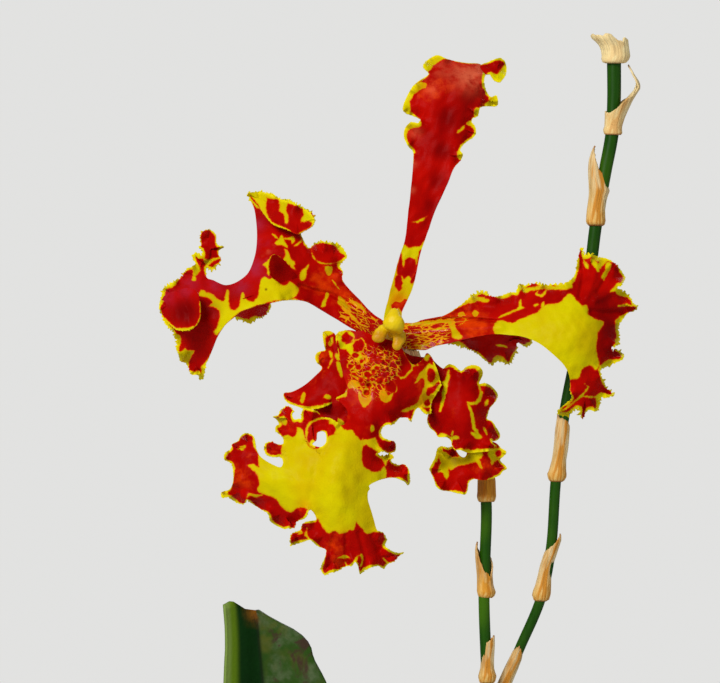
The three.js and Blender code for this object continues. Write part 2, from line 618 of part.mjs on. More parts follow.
function bract({ stem, foot, tall, short, facing, flare = 0.3, points = 1 }) {
  const start = nearestOn(stem, foot);
  const total = stem.getLength();
  const turn = (facing * Math.PI) / 180;
  const heightAt = (a) => {
    const lean = (1 + Math.cos(points * (a - turn))) / 2;
    return short + (tall - short) * lean ** 2;
  };
  const wallAt = (a, share, inner) => {
    const up = share * heightAt(a);
    const t = clamp(start + up / total, 0, 1);
    const past = Math.max(0, start * total + up - total);
    const centre = stem.getPointAt(t);
    const along = stem.getTangentAt(t);
    const side = new THREE.Vector3(1, 0, 0).addScaledVector(along, -along.x).normalize();
    const front = new THREE.Vector3().crossVectors(along, side).negate();
    const clear = (STEM_RADII.get(stem)(t) + GAP) * BRACT.facets;
    const ring = BRACT.ring * Math.exp(-((up / BRACT.ringLength) ** 2));
    const open = flare * Math.max(0, up / tall) ** 1.5 * (tall / 8);
    const radius = clear + open + (inner ? 0 : BRACT.wall + ring);
    return centre
      .addScaledVector(along, past)
      .addScaledVector(side, radius * Math.cos(a))
      .addScaledVector(front, radius * Math.sin(a));
  };
  const { around, rise } = BRACT;
  const positions = [];
  const faces = [];
  for (const inner of [false, true])
    for (const share of rise)
      for (let j = 0; j < around; j++) positions.push(wallAt((2 * Math.PI * j) / around, share, inner));
  const id = (wall, i, j) => (wall * rise.length + i) * around + (j % around);
  for (let j = 0; j < around; j++) {
    for (let i = 0; i + 1 < rise.length; i++)
      for (const wall of [0, 1]) {
        const quad = [id(wall, i, j), id(wall, i, j + 1), id(wall, i + 1, j + 1), id(wall, i + 1, j)];
        if (wall) quad.reverse();
        faces.push([quad[0], quad[1], quad[2]], [quad[0], quad[2], quad[3]]);
      }
    for (const [i, flip] of [[0, true], [rise.length - 1, false]]) {
      const rim = [id(0, i, j), id(0, i, j + 1), id(1, i, j + 1), id(1, i, j)];
      if (flip) rim.reverse();
      faces.push([rim[0], rim[1], rim[2]], [rim[0], rim[2], rim[3]]);
    }
  }
  return solid(outward(geometryOf(positions, faces)));
}

const BRACTS = [
  { name: "flowering_low", stem: FLOWERING_RACHIS, foot: at(487, 680, 12), tall: 9.6, short: 6, facing: 20 },
  { name: "flowering_mid", stem: FLOWERING_RACHIS, foot: at(484, 597, 12), tall: 12, short: 4, facing: 180 },
  { name: "flowering_high", stem: FLOWERING_RACHIS, foot: at(486, 500, 12), tall: 10, short: 5, facing: 60 },
  { name: "spent_foot", stem: SPENT_RACHIS, foot: at(502.5, 690, 16.1), tall: 10.4, short: 7, facing: 130 },
  { name: "spent_low", stem: SPENT_RACHIS, foot: at(540, 599, 14.6), tall: 13.6, short: 8.5, facing: 0 },
  { name: "spent_mid", stem: SPENT_RACHIS, foot: at(556, 478, 14), tall: 13.4, short: 11, facing: 150 },
  { name: "spent_hidden", stem: SPENT_RACHIS, foot: at(578, 344, 14), tall: 13, short: 7, facing: 20 },
  { name: "spent_high", stem: SPENT_RACHIS, foot: at(595, 225, 14), tall: 16.6, short: 8, facing: 180 },
  {
    name: "spent_top",
    stem: SPENT_RACHIS,
    foot: at(612, 134, 14),
    tall: 15.5,
    short: 4,
    facing: 0,
    flare: 1.1,
  },
  {
    name: "spent_tip",
    stem: SPENT_RACHIS,
    foot: at(614, 61, 14),
    tall: 6.2,
    short: 3.8,
    facing: 40,
    flare: 0.9,
    points: 3,
  },
  { name: "peduncle_high", stem: PEDUNCLE, foot: at(487, 1076, 11.4), tall: 15, short: 8, facing: 0 },
  { name: "peduncle_low", stem: PEDUNCLE, foot: at(503, 1403, 11.6), tall: 17, short: 9, facing: 180 },
];

// The ribbed ovary runs from behind the bloom to the tip of the stem, where a small papery bract holds it.
function ovary() {
  const line = new THREE.CatmullRomCurve3([
    at(393, 333, -0.9), at(394, 334, 2), at(398, 338, 6), at(406, 345, 9.4), at(414, 353, 11.2),
  ]);
  return stalk(line, 8, 8, (t) => 2.2 - t);
}

// Bulbs, leaves and sheaths, and the room that the bark leaves round what stands in it

const HOLE = { slack: 0.7, end: 2.8, stem: 2.5 };

const BULBS = [
  { name: "a", x: -31, y: 5, turn: 20, height: 44, width: 15, lean: [-2, 1] },
  { name: "b", x: -7, y: -12, turn: -15, height: 38, width: 14, lean: [-1, -3] },
  { name: "c", x: -1, y: 23, turn: 50, height: 40, width: 14, lean: [0, 4] },
  { name: "d", x: 34, y: 8, turn: -30, height: 36, width: 13, lean: [4, 1] },
  { name: "e", x: 22, y: -24, turn: 10, height: 30, width: 12, lean: [2, -3] },
];
// start is how far round its arch the profile begins, and neck how much of the width the two ends keep.
const BULB = { foot: 89, flat: 0.5, steps: 7, sides: 12, start: 0.12, neck: 0.16, fullness: 0.75 };

function bulb({ x, y, turn, height, width, lean }, grow = 0) {
  const spin = (turn * Math.PI) / 180;
  const rings = Array.from({ length: BULB.steps + 1 }, (_, i) => {
    const t = i / BULB.steps;
    const arch = Math.sin(Math.PI * Math.min(1, BULB.start + (1 - BULB.start) * t)) ** BULB.fullness;
    const wide = (width + grow) * (BULB.neck + (1 - BULB.neck) * arch);
    const deep = wide * BULB.flat + grow / 2;
    return Array.from({ length: BULB.sides }, (__, j) => {
      const a = (2 * Math.PI * j) / BULB.sides;
      const [u, v] = [wide * Math.cos(a), deep * Math.sin(a)];
      return new THREE.Vector3(
        x + lean[0] * t + u * Math.cos(spin) - v * Math.sin(spin),
        y + lean[1] * t + u * Math.sin(spin) + v * Math.cos(spin),
        BULB.foot - grow + t * (height + 2 * grow),
      );
    });
  });
  return solid(skin(rings));
}

// Half widths left and right of the midrib at stations along a leaf, as [station, left, right].
const LEAF = { steps: 15, across: [-1, -0.5, 0, 0.5, 1], thick: 1.8, edge: 0.9 };
const POINTED = [
  [0, 3.4, 3.4], [0.06, 5, 5], [0.25, 15, 15], [0.48, 24, 24], [0.68, 25, 25], [0.84, 19, 19],
  [0.95, 8.5, 8.5], [1, 0.8, 0.8],
];
const SLANTED = [
  [0, 3.4, 3.4], [0.06, 5, 5], [0.25, 15, 15], [0.5, 24, 24], [0.7, 24.5, 25], [0.83, 19.5, 20],
  [0.915, 14, 13.7], [0.96, 11.6, 10.6], [1, 8.4, 0.8],
];
const LEAVES = [
  {
    bulb: "a",
    tip: [-41.2, 2, 335],
    bow: [-33, 6, 240],
    across: [0.98, 0.2, 0],
    width: 1,
    fold: 32,
    outline: SLANTED,
  },
  { bulb: "b", tip: [-30, -40, 268], bow: [-18, -22, 200], across: [0.9, -0.43, 0], width: 0.96, fold: 18 },
  { bulb: "c", tip: [4, 62, 282], bow: [-2, 38, 210], across: [-0.98, 0.1, 0], width: 1, fold: 20 },
  { bulb: "d", tip: [88, 14, 262], bow: [56, 12, 196], across: [0.15, -0.95, 0.1], width: 0.96, fold: 20 },
  { bulb: "e", tip: [48, -62, 214], bow: [32, -40, 160], across: [0.85, 0.5, 0], width: 0.8, fold: 16 },
];

function leaf({ bulb: which, tip, bow, across, width, fold, outline = POINTED }) {
  const { x, y, height, lean } = BULBS.find((b) => b.name === which);
  const foot = new THREE.Vector3(x + lean[0], y + lean[1], BULB.foot + height + GAP + LEAF.thick / 2);
  const rib = new THREE.CatmullRomCurve3([
    foot,
    foot.clone().add(new THREE.Vector3(0, 0, 12)),
    new THREE.Vector3(...bow),
    new THREE.Vector3(...tip),
  ]);
  const halves = new THREE.CatmullRomCurve3(outline.map((row) => new THREE.Vector3(...row)));
  const tilt = (fold * Math.PI) / 180;
  const rings = [];
  for (let i = 0; i <= LEAF.steps; i++) {
    const { x: station, y: left, z: right } = halves.getPoint(i / LEAF.steps);
    const centre = rib.getPointAt(clamp(station, 0, 1));
    const along = rib.getTangentAt(clamp(station, 0, 1));
    const side = new THREE.Vector3(...across);
    side.addScaledVector(along, -along.dot(side)).normalize();
    const face = new THREE.Vector3().crossVectors(side, along).normalize();
    const row = (sign) =>
      LEAF.across.map((v) => {
        const half = (v < 0 ? left : right) * width;
        const thick = (LEAF.thick + (LEAF.edge - LEAF.thick) * v * v) / 2;
        return centre
          .clone()
          .addScaledVector(side, v * half * Math.cos(tilt))
          .addScaledVector(face, Math.abs(v) * half * Math.sin(tilt) + sign * thick);
      });
    rings.push([...row(-1), ...row(1).reverse()]);
  }
  return solid(skin(rings));
}

// A dry sheath that wraps a bulb's foot like an open cone.
const SHEATH = { around: 12, wall: 0.7, tall: 20, slack: 1.2, depth: 1.1, foot: 0.8, flare: 0.26, low: 0.45 };
const SHEATHS = [
  { bulb: "a", facing: 3.6 },
  { bulb: "d", facing: 4.4 },
  { bulb: "e", facing: 5.4 },
];

function sheathRings({ bulb: which, facing }, out, levels) {
  const { x, y, turn, width, height, lean } = BULBS.find((b) => b.name === which);
  const spin = (turn * Math.PI) / 180;
  return levels.map((up) =>
    Array.from({ length: SHEATH.around }, (_, j) => {
      const a = (2 * Math.PI * j) / SHEATH.around;
      const wide = (width + SHEATH.slack) * (SHEATH.foot + SHEATH.flare * up) + out;
      const deep = wide * BULB.flat + SHEATH.depth + out / 2;
      const [u, v] = [wide * Math.cos(a), deep * Math.sin(a)];
      const peak = ((1 + Math.cos(a - facing)) / 2) ** 1.5;
      const rise = up * SHEATH.tall * (SHEATH.low + (1 - SHEATH.low) * peak);
      return new THREE.Vector3(
        x + (lean[0] * rise) / height + u * Math.cos(spin) - v * Math.sin(spin),
        y + (lean[1] * rise) / height + u * Math.sin(spin) + v * Math.cos(spin),
        BULB.foot + rise,
      );
    }),
  );
}

function bulbSheath(which) {
  const levels = [0, 0.5, 1];
  const rings = [...sheathRings(which, SHEATH.wall, levels), ...sheathRings(which, 0, levels).reverse()];
  const { around } = SHEATH;
  const faces = rings.flatMap((_, i) => {
    const [here, next] = [i * around, ((i + 1) % rings.length) * around];
    return Array.from({ length: around }, (__, j) => {
      const k = (j + 1) % around;
      return [[here + j, here + k, next + k], [here + j, next + k, next + j]];
    }).flat();
  });
  return solid(outward(geometryOf(rings.flat(), faces)));
}

const sheathHole = (which) => solid(skin(sheathRings(which, SHEATH.wall + HOLE.slack, [-0.1, 1])));

// Aerial roots: from the bulbs' feet they arch over the bark and dive into it.
const ROOT = { radius: 1.5, taper: 0.2, steps: 8 };
const ROOTS = [
  [[-37, -10, 92], [-43, -18, 95], [-38, -28, 91], [-31, -33, 80]],
  [[-15, -22, 93], [-20, -31, 98], [-12, -42, 94], [-6, -46, 80]],
  [[39, 20, 92], [40, 29, 96], [31, 37, 92], [23, 40, 80]],
  [[30, -36, 92], [38, -34, 96], [43, -23, 91], [44, -12, 79]],
  [[-10, 30, 93], [-22, 36, 97], [-34, 30, 92], [-42, 22, 80]],
];
const rootPath = (points) => new THREE.CatmullRomCurve3(points.map((p) => new THREE.Vector3(...p)));
const root = (points) => stalk(rootPath(points), ROOT.steps, 6, (t) => ROOT.radius * (1 - ROOT.taper * t));
const rootHole = (points) => {
  const start = new THREE.Vector3(...points[0]);
  const end = new THREE.Vector3(...points.at(-1));
  const room = new THREE.Vector3(HOLE.end, HOLE.end, HOLE.end);
  return union([
    stalk(rootPath(points), ROOT.steps, 8, () => ROOT.radius + HOLE.slack),
    ball(start, room, new THREE.Euler(), [6, 4]),
    ball(end, room, new THREE.Euler(), [6, 4]),
  ]);
};

// The pot and its bark

const turned = (profile) =>
  solid(
    new THREE.LatheGeometry(profile.map(([r, z]) => new THREE.Vector2(r, z)), POT.sides).rotateX(Math.PI / 2),
  );

function pot() {
  const { height, topRadius, footRadius, wall, floor, rimHeight, rimOut, lip } = POT;
  const slope = (topRadius - footRadius) / height;
  const outer = (z) => footRadius + slope * z;
  const rimFoot = height - rimHeight;
  const profile = [
    [0, 0], [footRadius - lip, 0], [footRadius, lip], [outer(rimFoot), rimFoot],
    [outer(rimFoot) + rimOut, rimFoot + lip], [topRadius + rimOut, height - lip],
    [topRadius + rimOut - lip, height], [topRadius - wall + lip, height], [topRadius - wall, height - lip],
    [outer(floor) - wall, floor], [0, floor],
  ];
  const drains = Array.from({ length: DRAIN.count }, (_, i) => {
    const a = (2 * Math.PI * i) / DRAIN.count + Math.PI / 2;
    return solid(
      new THREE.CylinderGeometry(DRAIN.radius, DRAIN.radius, 4 * floor, 12)
        .rotateX(Math.PI / 2)
        .translate(DRAIN.ring * Math.cos(a), DRAIN.ring * Math.sin(a), floor / 2),
    );
  });
  return turned(profile).subtract(union(drains));
}

// The plug of bark fills the pot to under its rim, with loose chips lying over its low crown.
function bark(rooted) {
  const { topRadius, footRadius, wall, floor } = POT;
  const innerAt = (z) => footRadius + ((topRadius - footRadius) * z) / POT.height - wall - BARK.gap;
  const edge = innerAt(BARK.top);
  const profile = [
    [0, floor + GAP], [innerAt(floor + GAP) - 1, floor + GAP], [edge, BARK.top - 4],
    [edge * 0.72, BARK.top - 1], [edge * 0.3, BARK.top + 1], [0, BARK.top + 1],
  ];
  const pieces = [turned(profile)];
  const golden = Math.PI * (3 - Math.sqrt(5));
  for (let i = 0; i < BARK.chips; i++) {
    const r = BARK.spread * Math.sqrt((i + 0.5) / BARK.chips);
    const size = BARK.chip.map((s) => s * between(0.75, 1.2));
    const chip = new THREE.BoxGeometry(...size);
    const turn = new THREE.Euler(between(-0.35, 0.35), between(-0.35, 0.35), between(0, Math.PI));
    const height = BARK.top - 0.6 - r * 0.03;
    const place = new THREE.Vector3(r * Math.cos(i * golden), r * Math.sin(i * golden), height);
    const spin = new THREE.Quaternion().setFromEuler(turn);
    chip.applyMatrix4(new THREE.Matrix4().compose(place, spin, new THREE.Vector3(1, 1, 1)));
    pieces.push(solid(chip));
  }
  const room = turned([
    [0, floor], [innerAt(floor), floor], [innerAt(POT.height), POT.height], [0, POT.height],
  ]);
  return mainBody(union(pieces).intersect(room).subtract(union(rooted)));
}

// The plant, put together

const plant = new THREE.Group();
plant.name = "potted_butterfly_orchid";

const stemHole = stalk(
  new THREE.LineCurve3(new THREE.Vector3(18, 6, 73.5), new THREE.Vector3(18, 5.6, 106)),
  1,
  10,
  () => HOLE.stem,
);
const rooted = [
  ...BULBS.map((b) => bulb(b, HOLE.slack)),
  ...SHEATHS.map(sheathHole),
  ...ROOTS.map(rootHole),
  stemHole,
];

plant.add(meshOf("pot", pot(), "clay"));
plant.add(meshOf("bark_mix", bark(rooted), "bark"));
BULBS.forEach((b) => plant.add(meshOf(`pseudobulb_${b.name}`, bulb(b), "bulb")));
LEAVES.forEach((l) => plant.add(meshOf(`leaf_${l.bulb}`, leaf(l), "leaf")));
ROOTS.forEach((r, i) => plant.add(meshOf(`root_${i + 1}`, root(r), "root")));
SHEATHS.forEach((s) => plant.add(meshOf(`sheath_${s.bulb}`, bulbSheath(s), "paper")));
plant.add(meshOf("flower_stem", flowerStem(), "stem"));
BRACTS.forEach((b) => plant.add(meshOf(`bract_${b.name}`, bract(b), "paper")));
plant.add(meshOf("ovary", ovary(), "ovary"));
plant.add(meshOf("column", column(), "column"));
plant.add(organ("dorsal_sepal", DORSAL_SEPAL, "petal"));
plant.add(organ("petal_left", LEFT_PETAL, "petal"));
plant.add(organ("petal_right", RIGHT_PETAL, "petal"));
plant.add(organ("lateral_sepal_left", LEFT_LATERAL_SEPAL, "petal"));
plant.add(organ("lateral_sepal_right", RIGHT_LATERAL_SEPAL, "petal"));
plant.add(organ("lip", LIP, "lip", crest()));

export default plant;
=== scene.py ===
import math

import bpy
import numpy as np
from mathutils import Euler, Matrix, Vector


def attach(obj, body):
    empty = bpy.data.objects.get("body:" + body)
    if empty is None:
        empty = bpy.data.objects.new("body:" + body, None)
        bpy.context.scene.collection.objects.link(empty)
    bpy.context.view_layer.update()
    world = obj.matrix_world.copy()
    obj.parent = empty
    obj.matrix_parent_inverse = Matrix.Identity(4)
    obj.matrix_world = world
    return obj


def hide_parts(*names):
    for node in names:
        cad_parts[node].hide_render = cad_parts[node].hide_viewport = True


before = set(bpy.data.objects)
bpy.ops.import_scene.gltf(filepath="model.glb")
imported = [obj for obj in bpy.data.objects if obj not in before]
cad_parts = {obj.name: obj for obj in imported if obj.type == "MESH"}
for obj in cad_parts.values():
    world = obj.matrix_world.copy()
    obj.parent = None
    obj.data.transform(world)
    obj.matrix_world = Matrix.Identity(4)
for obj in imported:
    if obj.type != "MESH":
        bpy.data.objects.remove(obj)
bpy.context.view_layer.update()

MM = 0.001
PHOTO_WIDTH = 720  # pixels, each as wide as a square of the paper

# The bloom and its stems are drawn on squared paper seen from the front, as in the part's own source.
SQUARE = 0.22  # millimetres to a square of the paper
FOOT = (392, 335)  # the column's foot on the paper
BLOOM = (-10, -8, 395)  # and in the pot's frame
EYE = (360, 341.5)  # the square that the eye looks straight at
EYE_AWAY = 540  # and how far it is from the paper
SHEET = {
    "cell": 0.9,  # squares between neighbouring points
    "thick": 0.62,  # millimetres
    "thin_edge": 0.35,  # how much of the thickness the margin keeps
    "thin_reach": 9,  # squares from the margin to the full thickness
    "ruffle_length": 27,  # squares along the margin
    "ruffle_reach": 13,  # squares in from the margin
    "calm_reach": 9,  # squares round a hole where the ruffles die down
    "rim": 3.2,  # squares of pale rim
}
FRILL = {"reach": 7, "height": 0.3, "pitch": 1.45, "drift": 1.6, "drift_pitch": 6.1}  # between the ruffles
SWELL = {"inside": 0.12, "margin": 0.22, "lengths": (11, 19)}  # the slow unevenness of a sheet
NET = {"scale": 0.8, "bend": (1.5, 1.5, 0), "fade": 5, "spot_fade": 1.5}  # the fine gold net
TINT_REACH = 9  # squares from a colour's border that its field tells apart
SPOT_WOBBLE = 0.22  # of a spot's size
TOOTH_SCATTER = (12.9898, 43758.5453)  # turns a tooth's number into its height
rng = np.random.default_rng(20261)


# Drawing

def drawn(text):
    """The points of a drawing, "x,y x,y ...", or with more numbers each. A last number left out is 1."""
    rows = [[float(v) for v in point.split(",")] for point in text.split()]
    width = max((len(row) for row in rows), default=0)
    return np.array([row + [1.0] * (width - len(row)) for row in rows])


def on_paper(x, y, depth):
    """A square of the paper in the pot's frame, at a depth behind it along the line of sight."""
    spread = 1 + depth / EYE_AWAY
    return np.stack(
        [
            BLOOM[0] + (EYE[0] - FOOT[0] + (x - EYE[0]) * spread) * SQUARE,
            BLOOM[1] + depth,
            BLOOM[2] - (EYE[1] - FOOT[1] + (y - EYE[1]) * spread) * SQUARE,
        ],
        -1,
    ) * MM


def rounded(points, rounds=2):
    """Keeps the drawn points of a closed outline and rounds the line between them."""
    loop = points if points.shape[1] == 3 else np.column_stack([points, np.ones(len(points))])
    for _ in range(rounds):
        before, after, beyond = (np.roll(loop, -k, 0) for k in (-1, 1, 2))
        middle = (9 * (loop + after) - before - beyond) / 16
        loop = np.stack([loop, middle], 1).reshape(-1, 3)
    return loop


def ease(t):
    t = np.clip(t, 0, 1)
    return t * t * (3 - 2 * t)


def to_edge(places, loop):
    """For each place: how far inside the outline it is, the way to the nearest edge point, that point's
    distance along the outline and its third number. Last comes the outline's whole length."""
    ends = np.roll(loop, -1, 0)
    way = ends[:, :2] - loop[:, :2]
    size2 = (way**2).sum(1)
    runs = np.concatenate([[0], np.cumsum(np.sqrt(size2))])
    nearest = np.full(len(places), np.inf)
    out = np.zeros_like(places)
    run = np.zeros(len(places))
    strength = np.zeros(len(places))
    inside = np.zeros(len(places), bool)
    for i, start in enumerate(loop):
        rel = places - start[:2]
        t = np.clip(rel @ way[i] / size2[i], 0, 1)
        off = t[:, None] * way[i] - rel
        away = (off**2).sum(1)
        near = away < nearest
        nearest[near] = away[near]
        out[near] = off[near]
        run[near] = runs[i] + t[near] * math.sqrt(size2[i])
        strength[near] = start[2] + t[near] * (ends[i, 2] - start[2])
        crosses = (start[1] > places[:, 1]) != (ends[i, 1] > places[:, 1])
        if crosses.any():
            at_height = start[0] + rel[:, 1] / way[i, 1] * way[i, 0]
            inside ^= crosses & (places[:, 0] < at_height)
    away = np.sqrt(nearest)
    sign = np.where(inside, 1.0, -1.0)
    out = out * sign[:, None] / np.maximum(away, 1e-9)[:, None]
    return away * sign, out, run, strength.clip(0, 1), runs[-1]


def from_line(places, line):
    """For each place: how far it is from an open line, and how far along the line from 0 to 1."""
    nearest = np.full(len(places), np.inf)
    share = np.zeros(len(places))
    for i, (a, b) in enumerate(zip(line[:-1, :2], line[1:, :2])):
        rel = places - a
        t = np.clip(rel @ (b - a) / ((b - a) @ (b - a)), 0, 1)
        away = ((rel - t[:, None] * (b - a)) ** 2).sum(1)
        near = away < nearest
        nearest[near] = away[near]
        share[near] = (i + t[near]) / (len(line) - 1)
    return np.sqrt(nearest), share


def thin_plate(pins):
    """A thin plate bent smoothly through pins (x, y, depth)."""
    scale = 0.01

    def bend(a, b):
        r2 = ((a[:, None, :2] - b[None, :, :2]) ** 2).sum(2) * scale**2
        return r2 * np.log(np.maximum(r2, 1e-12))

    n = len(pins)
    flat = np.column_stack([np.ones(n), pins[:, :2] * scale])
    system = np.block([[bend(pins, pins), flat], [flat.T, np.zeros((3, 3))]])
    weights = np.linalg.solve(system, np.concatenate([pins[:, 2], [0, 0, 0]]))

    def depth(places):
        return bend(places, pins) @ weights[:n] + weights[n] + places @ weights[n + 1 :] * scale

    return depth


def waves(places, lengths, seed):
    """Soft uneven waves from -1 to 1 over a plane, of a few wavelengths, the same every time."""
    dice = np.random.default_rng(seed)
    total = np.zeros(len(places))
    for length in lengths:
        for _ in range(5):
            turn = dice.uniform(0, 2 * math.pi)
            k = 2 * math.pi / (length * dice.uniform(0.75, 1.3))
            total += np.sin(k * (places @ [math.cos(turn), math.sin(turn)]) + dice.uniform(0, 7)) * length
    return total / (5**0.5 * sum(lengths))


def teeth_along(run, height, pitch):
    """How far the fringe of a margin stands out, by the distance along the outline: uneven sharp teeth."""
    out = np.zeros(len(run))
    for share, gap in ((0.7, pitch), (0.45, pitch * 0.61)):
        place = run / gap + 0.35 * np.sin(run / 6.3)
        tall = (np.sin(np.floor(place) * TOOTH_SCATTER[0]) * TOOTH_SCATTER[1]) % 1
        out += share * (0.15 + 0.85 * tall) * (1 - np.abs(2 * (place % 1) - 1))
    uneven = 0.75 + 0.35 * np.sin(run / 11.3) + 0.25 * np.sin(run / 4.7 + 1)
    return height * uneven * (out - 0.28)


# Working with pieces

def alone(piece):
    """Selects one piece and nothing else."""
    bpy.ops.object.select_all(action="DESELECT")
    piece.select_set(True)
    bpy.context.view_layer.objects.active = piece
    return piece


def named(name, smooth=True):
    piece = bpy.context.object
    piece.name = name
    piece.data.name = name
    if smooth:
        bpy.ops.object.shade_smooth()
    return piece


def points_of(piece):
    co = np.zeros(len(piece.data.vertices) * 3)
    piece.data.vertices.foreach_get("co", co)
    return co.reshape(-1, 3)


def place_points(piece, co):
    piece.data.vertices.foreach_set("co", np.asarray(co, float).ravel())
    piece.data.update()


def corners_of(piece, sides=3):
    """The points of each face, for a piece whose faces all have that many sides."""
    corners = np.zeros(len(piece.data.polygons) * sides, int)
    piece.data.polygons.foreach_get("vertices", corners)
    return corners.reshape(-1, sides)


def keep_value(piece, name, values):
    attribute = piece.data.attributes.new(name, "FLOAT", "POINT")
    attribute.data.foreach_set("value", np.asarray(values, np.float32))


def pick(piece, chosen, kind="VERT"):
    """Selects points or faces by a mask, and leaves the piece in edit mode."""
    alone(piece)
    bpy.ops.object.mode_set(mode="EDIT")
    bpy.ops.mesh.select_mode(type=kind)
    bpy.ops.mesh.select_all(action="DESELECT")
    bpy.ops.object.mode_set(mode="OBJECT")
    parts = piece.data.vertices if kind == "VERT" else piece.data.polygons
    parts.foreach_set("select", np.asarray(chosen, bool))
    bpy.ops.object.mode_set(mode="EDIT")


def modify(piece, kind, **settings):
    """Adds a modifier to the piece and applies it."""
    alone(piece)
    modifier = piece.modifiers.new(kind.title(), kind)
    for key, value in settings.items():
        setattr(modifier, key, value)
    bpy.ops.object.modifier_apply(modifier=modifier.name)
    return piece


def weigh(piece, weights, levels=24):
    """A vertex group named depth, from weights 0 to 1."""
    group = piece.vertex_groups.new(name="depth")
    step = np.round(weights * levels).astype(int)
    for level in np.unique(step):
        group.add(np.flatnonzero(step == level).tolist(), float(level / levels), "REPLACE")


def joined(name, parts):
    bpy.ops.object.select_all(action="DESELECT")
    for part in parts:
        part.select_set(True)
    bpy.context.view_layer.objects.active = parts[0]
    if len(parts) > 1:
        bpy.ops.object.join()
    return named(name, smooth=False)


def settle(piece, node, slot, *materials):
    """The finished piece rides on the frame in place of its node and takes its materials."""
    if materials:
        piece.data.materials.clear()
        for material in materials:
            piece.data.materials.append(material)
    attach(piece, "root")
    if node:
        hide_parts(node)
    return piece


# Petal sheets

def cut_out(name, loop, gaps, teeth):
    """A plane of even triangles, cut along an outline and round its holes, with a fringe of teeth. Also gives
    each point's square, how far inside it lies, its run along the outline and that line's length, how strongly
    the margin is ruffled there, and how little a hole nearby calms it."""
    cell = SHEET["cell"]
    row_gap = cell * math.sqrt(0.75)
    low = loop[:, :2].min(0) - 2 * cell
    size = loop[:, :2].max(0) + 2 * cell - low
    columns, rows = int(size[0] / cell), int(size[1] / row_gap)
    bpy.ops.object.select_all(action="DESELECT")
    bpy.ops.mesh.primitive_grid_add(x_subdivisions=columns, y_subdivisions=rows, size=1, location=(0, 0, 0))
    sheet = named(name)
    co = points_of(sheet)
    across = np.round((co[:, 0] + 0.5) * columns)
    down = np.round((0.5 - co[:, 1]) * rows)
    flat = low + np.column_stack([across * cell + (down % 2) * cell / 2, down * row_gap])
    place_points(sheet, np.column_stack([flat[:, 0], -flat[:, 1], np.zeros(len(flat))]))
    inset, out, run, strength, length = to_edge(flat, loop)
    room = inset + strength * teeth_along(run, *teeth)
    calm = np.ones(len(flat))
    for gap in gaps:
        past, inward, *_ = to_edge(flat, gap)
        calm = np.minimum(calm, ease(-past / SHEET["calm_reach"]))
        nearer = -past < room
        room = np.where(nearer, -past, room)
        inset = np.where(nearer, -past, inset)
        out = np.where(nearer[:, None], -inward, out)
    bpy.ops.object.mode_set(mode="EDIT")
    bpy.ops.mesh.select_all(action="SELECT")
    bpy.ops.mesh.quads_convert_to_tris(quad_method="SHORTEST_DIAGONAL")
    bpy.ops.object.mode_set(mode="OBJECT")
    corners = corners_of(sheet)
    whole = (room > -0.5 * cell)[corners].all(1)
    kept = np.zeros(len(flat), bool)
    kept[corners[whole]] = True
    pick(sheet, ~kept)
    bpy.ops.mesh.delete(type="VERT")
    bpy.ops.mesh.select_all(action="SELECT")
    bpy.ops.mesh.delete_loose(use_verts=False)
    bpy.ops.mesh.select_all(action="DESELECT")
    bpy.ops.mesh.select_non_manifold()
    bpy.ops.object.mode_set(mode="OBJECT")
    rim = np.zeros(len(sheet.data.vertices), bool)
    sheet.data.vertices.foreach_get("select", rim)
    fields = (flat, inset, out, run, strength, room, calm)
    flat, inset, out, run, strength, room, calm = (field[kept] for field in fields)
    flat = flat + np.where(rim, room, 0)[:, None] * out
    inset = np.maximum(np.where(rim, inset - room, inset), 0)
    return sheet, flat, inset, run, length, strength, calm


def soft_marks(places, marks):
    """The sum of soft round marks, rows of x, y, reach and amount, at each place."""
    total = np.zeros(len(places))
    for x, y, reach, amount in marks:
        total += amount * np.exp(-((places - (x, y)) ** 2).sum(1) / reach**2)
    return total


def keep_colors(sheet, flat, inset, run, strength, seed, yellow=(), red=(), lines=(), tone_light_and_shade_marks="", sheen="",
                spots="", mottle="", netting=1.0, grain=(0, 1.4, 1.4), margin=1.8):
    """The fields that the paint follows. Yellow is in millimetres, above 0 in the yellow parts."""
    uneven = 0.75 + 0.5 * np.sin(run / 9.1) + 0.35 * np.sin(run / 3.7 + 2)
    tint = np.where(strength > 0.05, margin * strength * uneven - inset, -TINT_REACH)
    for patch in yellow:
        tint = np.maximum(tint, to_edge(flat, rounded(drawn(patch), 1))[0])
    for line, wide in lines:
        away, share = from_line(flat, drawn(line))
        swell = 0.4 + 0.75 * np.sin(math.pi * share) ** 0.7 + 0.3 * waves(flat, (6, 10), seed)
        tint = np.maximum(tint, wide / 2 * swell - away)
    for patch in red:
        tint = np.minimum(tint, -to_edge(flat, rounded(drawn(patch), 1))[0])
    net = np.zeros(len(flat))
    if mottle:
        net = ease(to_edge(flat, rounded(drawn(mottle), 1))[0] / NET["fade"])
    for x, y, reach, ring in drawn(spots):
        wobble = SPOT_WOBBLE * reach * waves(flat, (5, 9), seed + int(x))
        away = np.hypot(*(flat - (x, y)).T) + wobble
        tint = np.minimum(np.maximum(tint, reach + ring - away), away - reach)
        net *= ease((away - reach) / NET["spot_fade"])
    turn, coarse, fine = math.radians(grain[0]), *grain[1:]
    for key, values in {
        "yellow": np.clip(tint, -TINT_REACH, TINT_REACH) * SQUARE,
        # Glow marks: above 0 an orange tone, partly the bloom's own colour and partly painted light; below 0
        # painted shade.
        "orange_tone_light_and_shade": soft_marks(flat, drawn(tone_light_and_shade_marks)).clip(-1, 1),
        # Sheen marks: painted sheen, salmon highlights above 0 and a purple reflection below 0.
        "pale": soft_marks(flat, drawn(sheen)).clip(-1, 1),
        "along": flat @ (math.cos(turn), math.sin(turn)) * SQUARE * coarse,
        "aside": flat @ (-math.sin(turn), math.cos(turn)) * SQUARE * fine,
        "rim": strength * ease(1 - inset / SHEET["rim"]),
        "mottle": net * netting,
    }.items():
        keep_value(sheet, key, values)


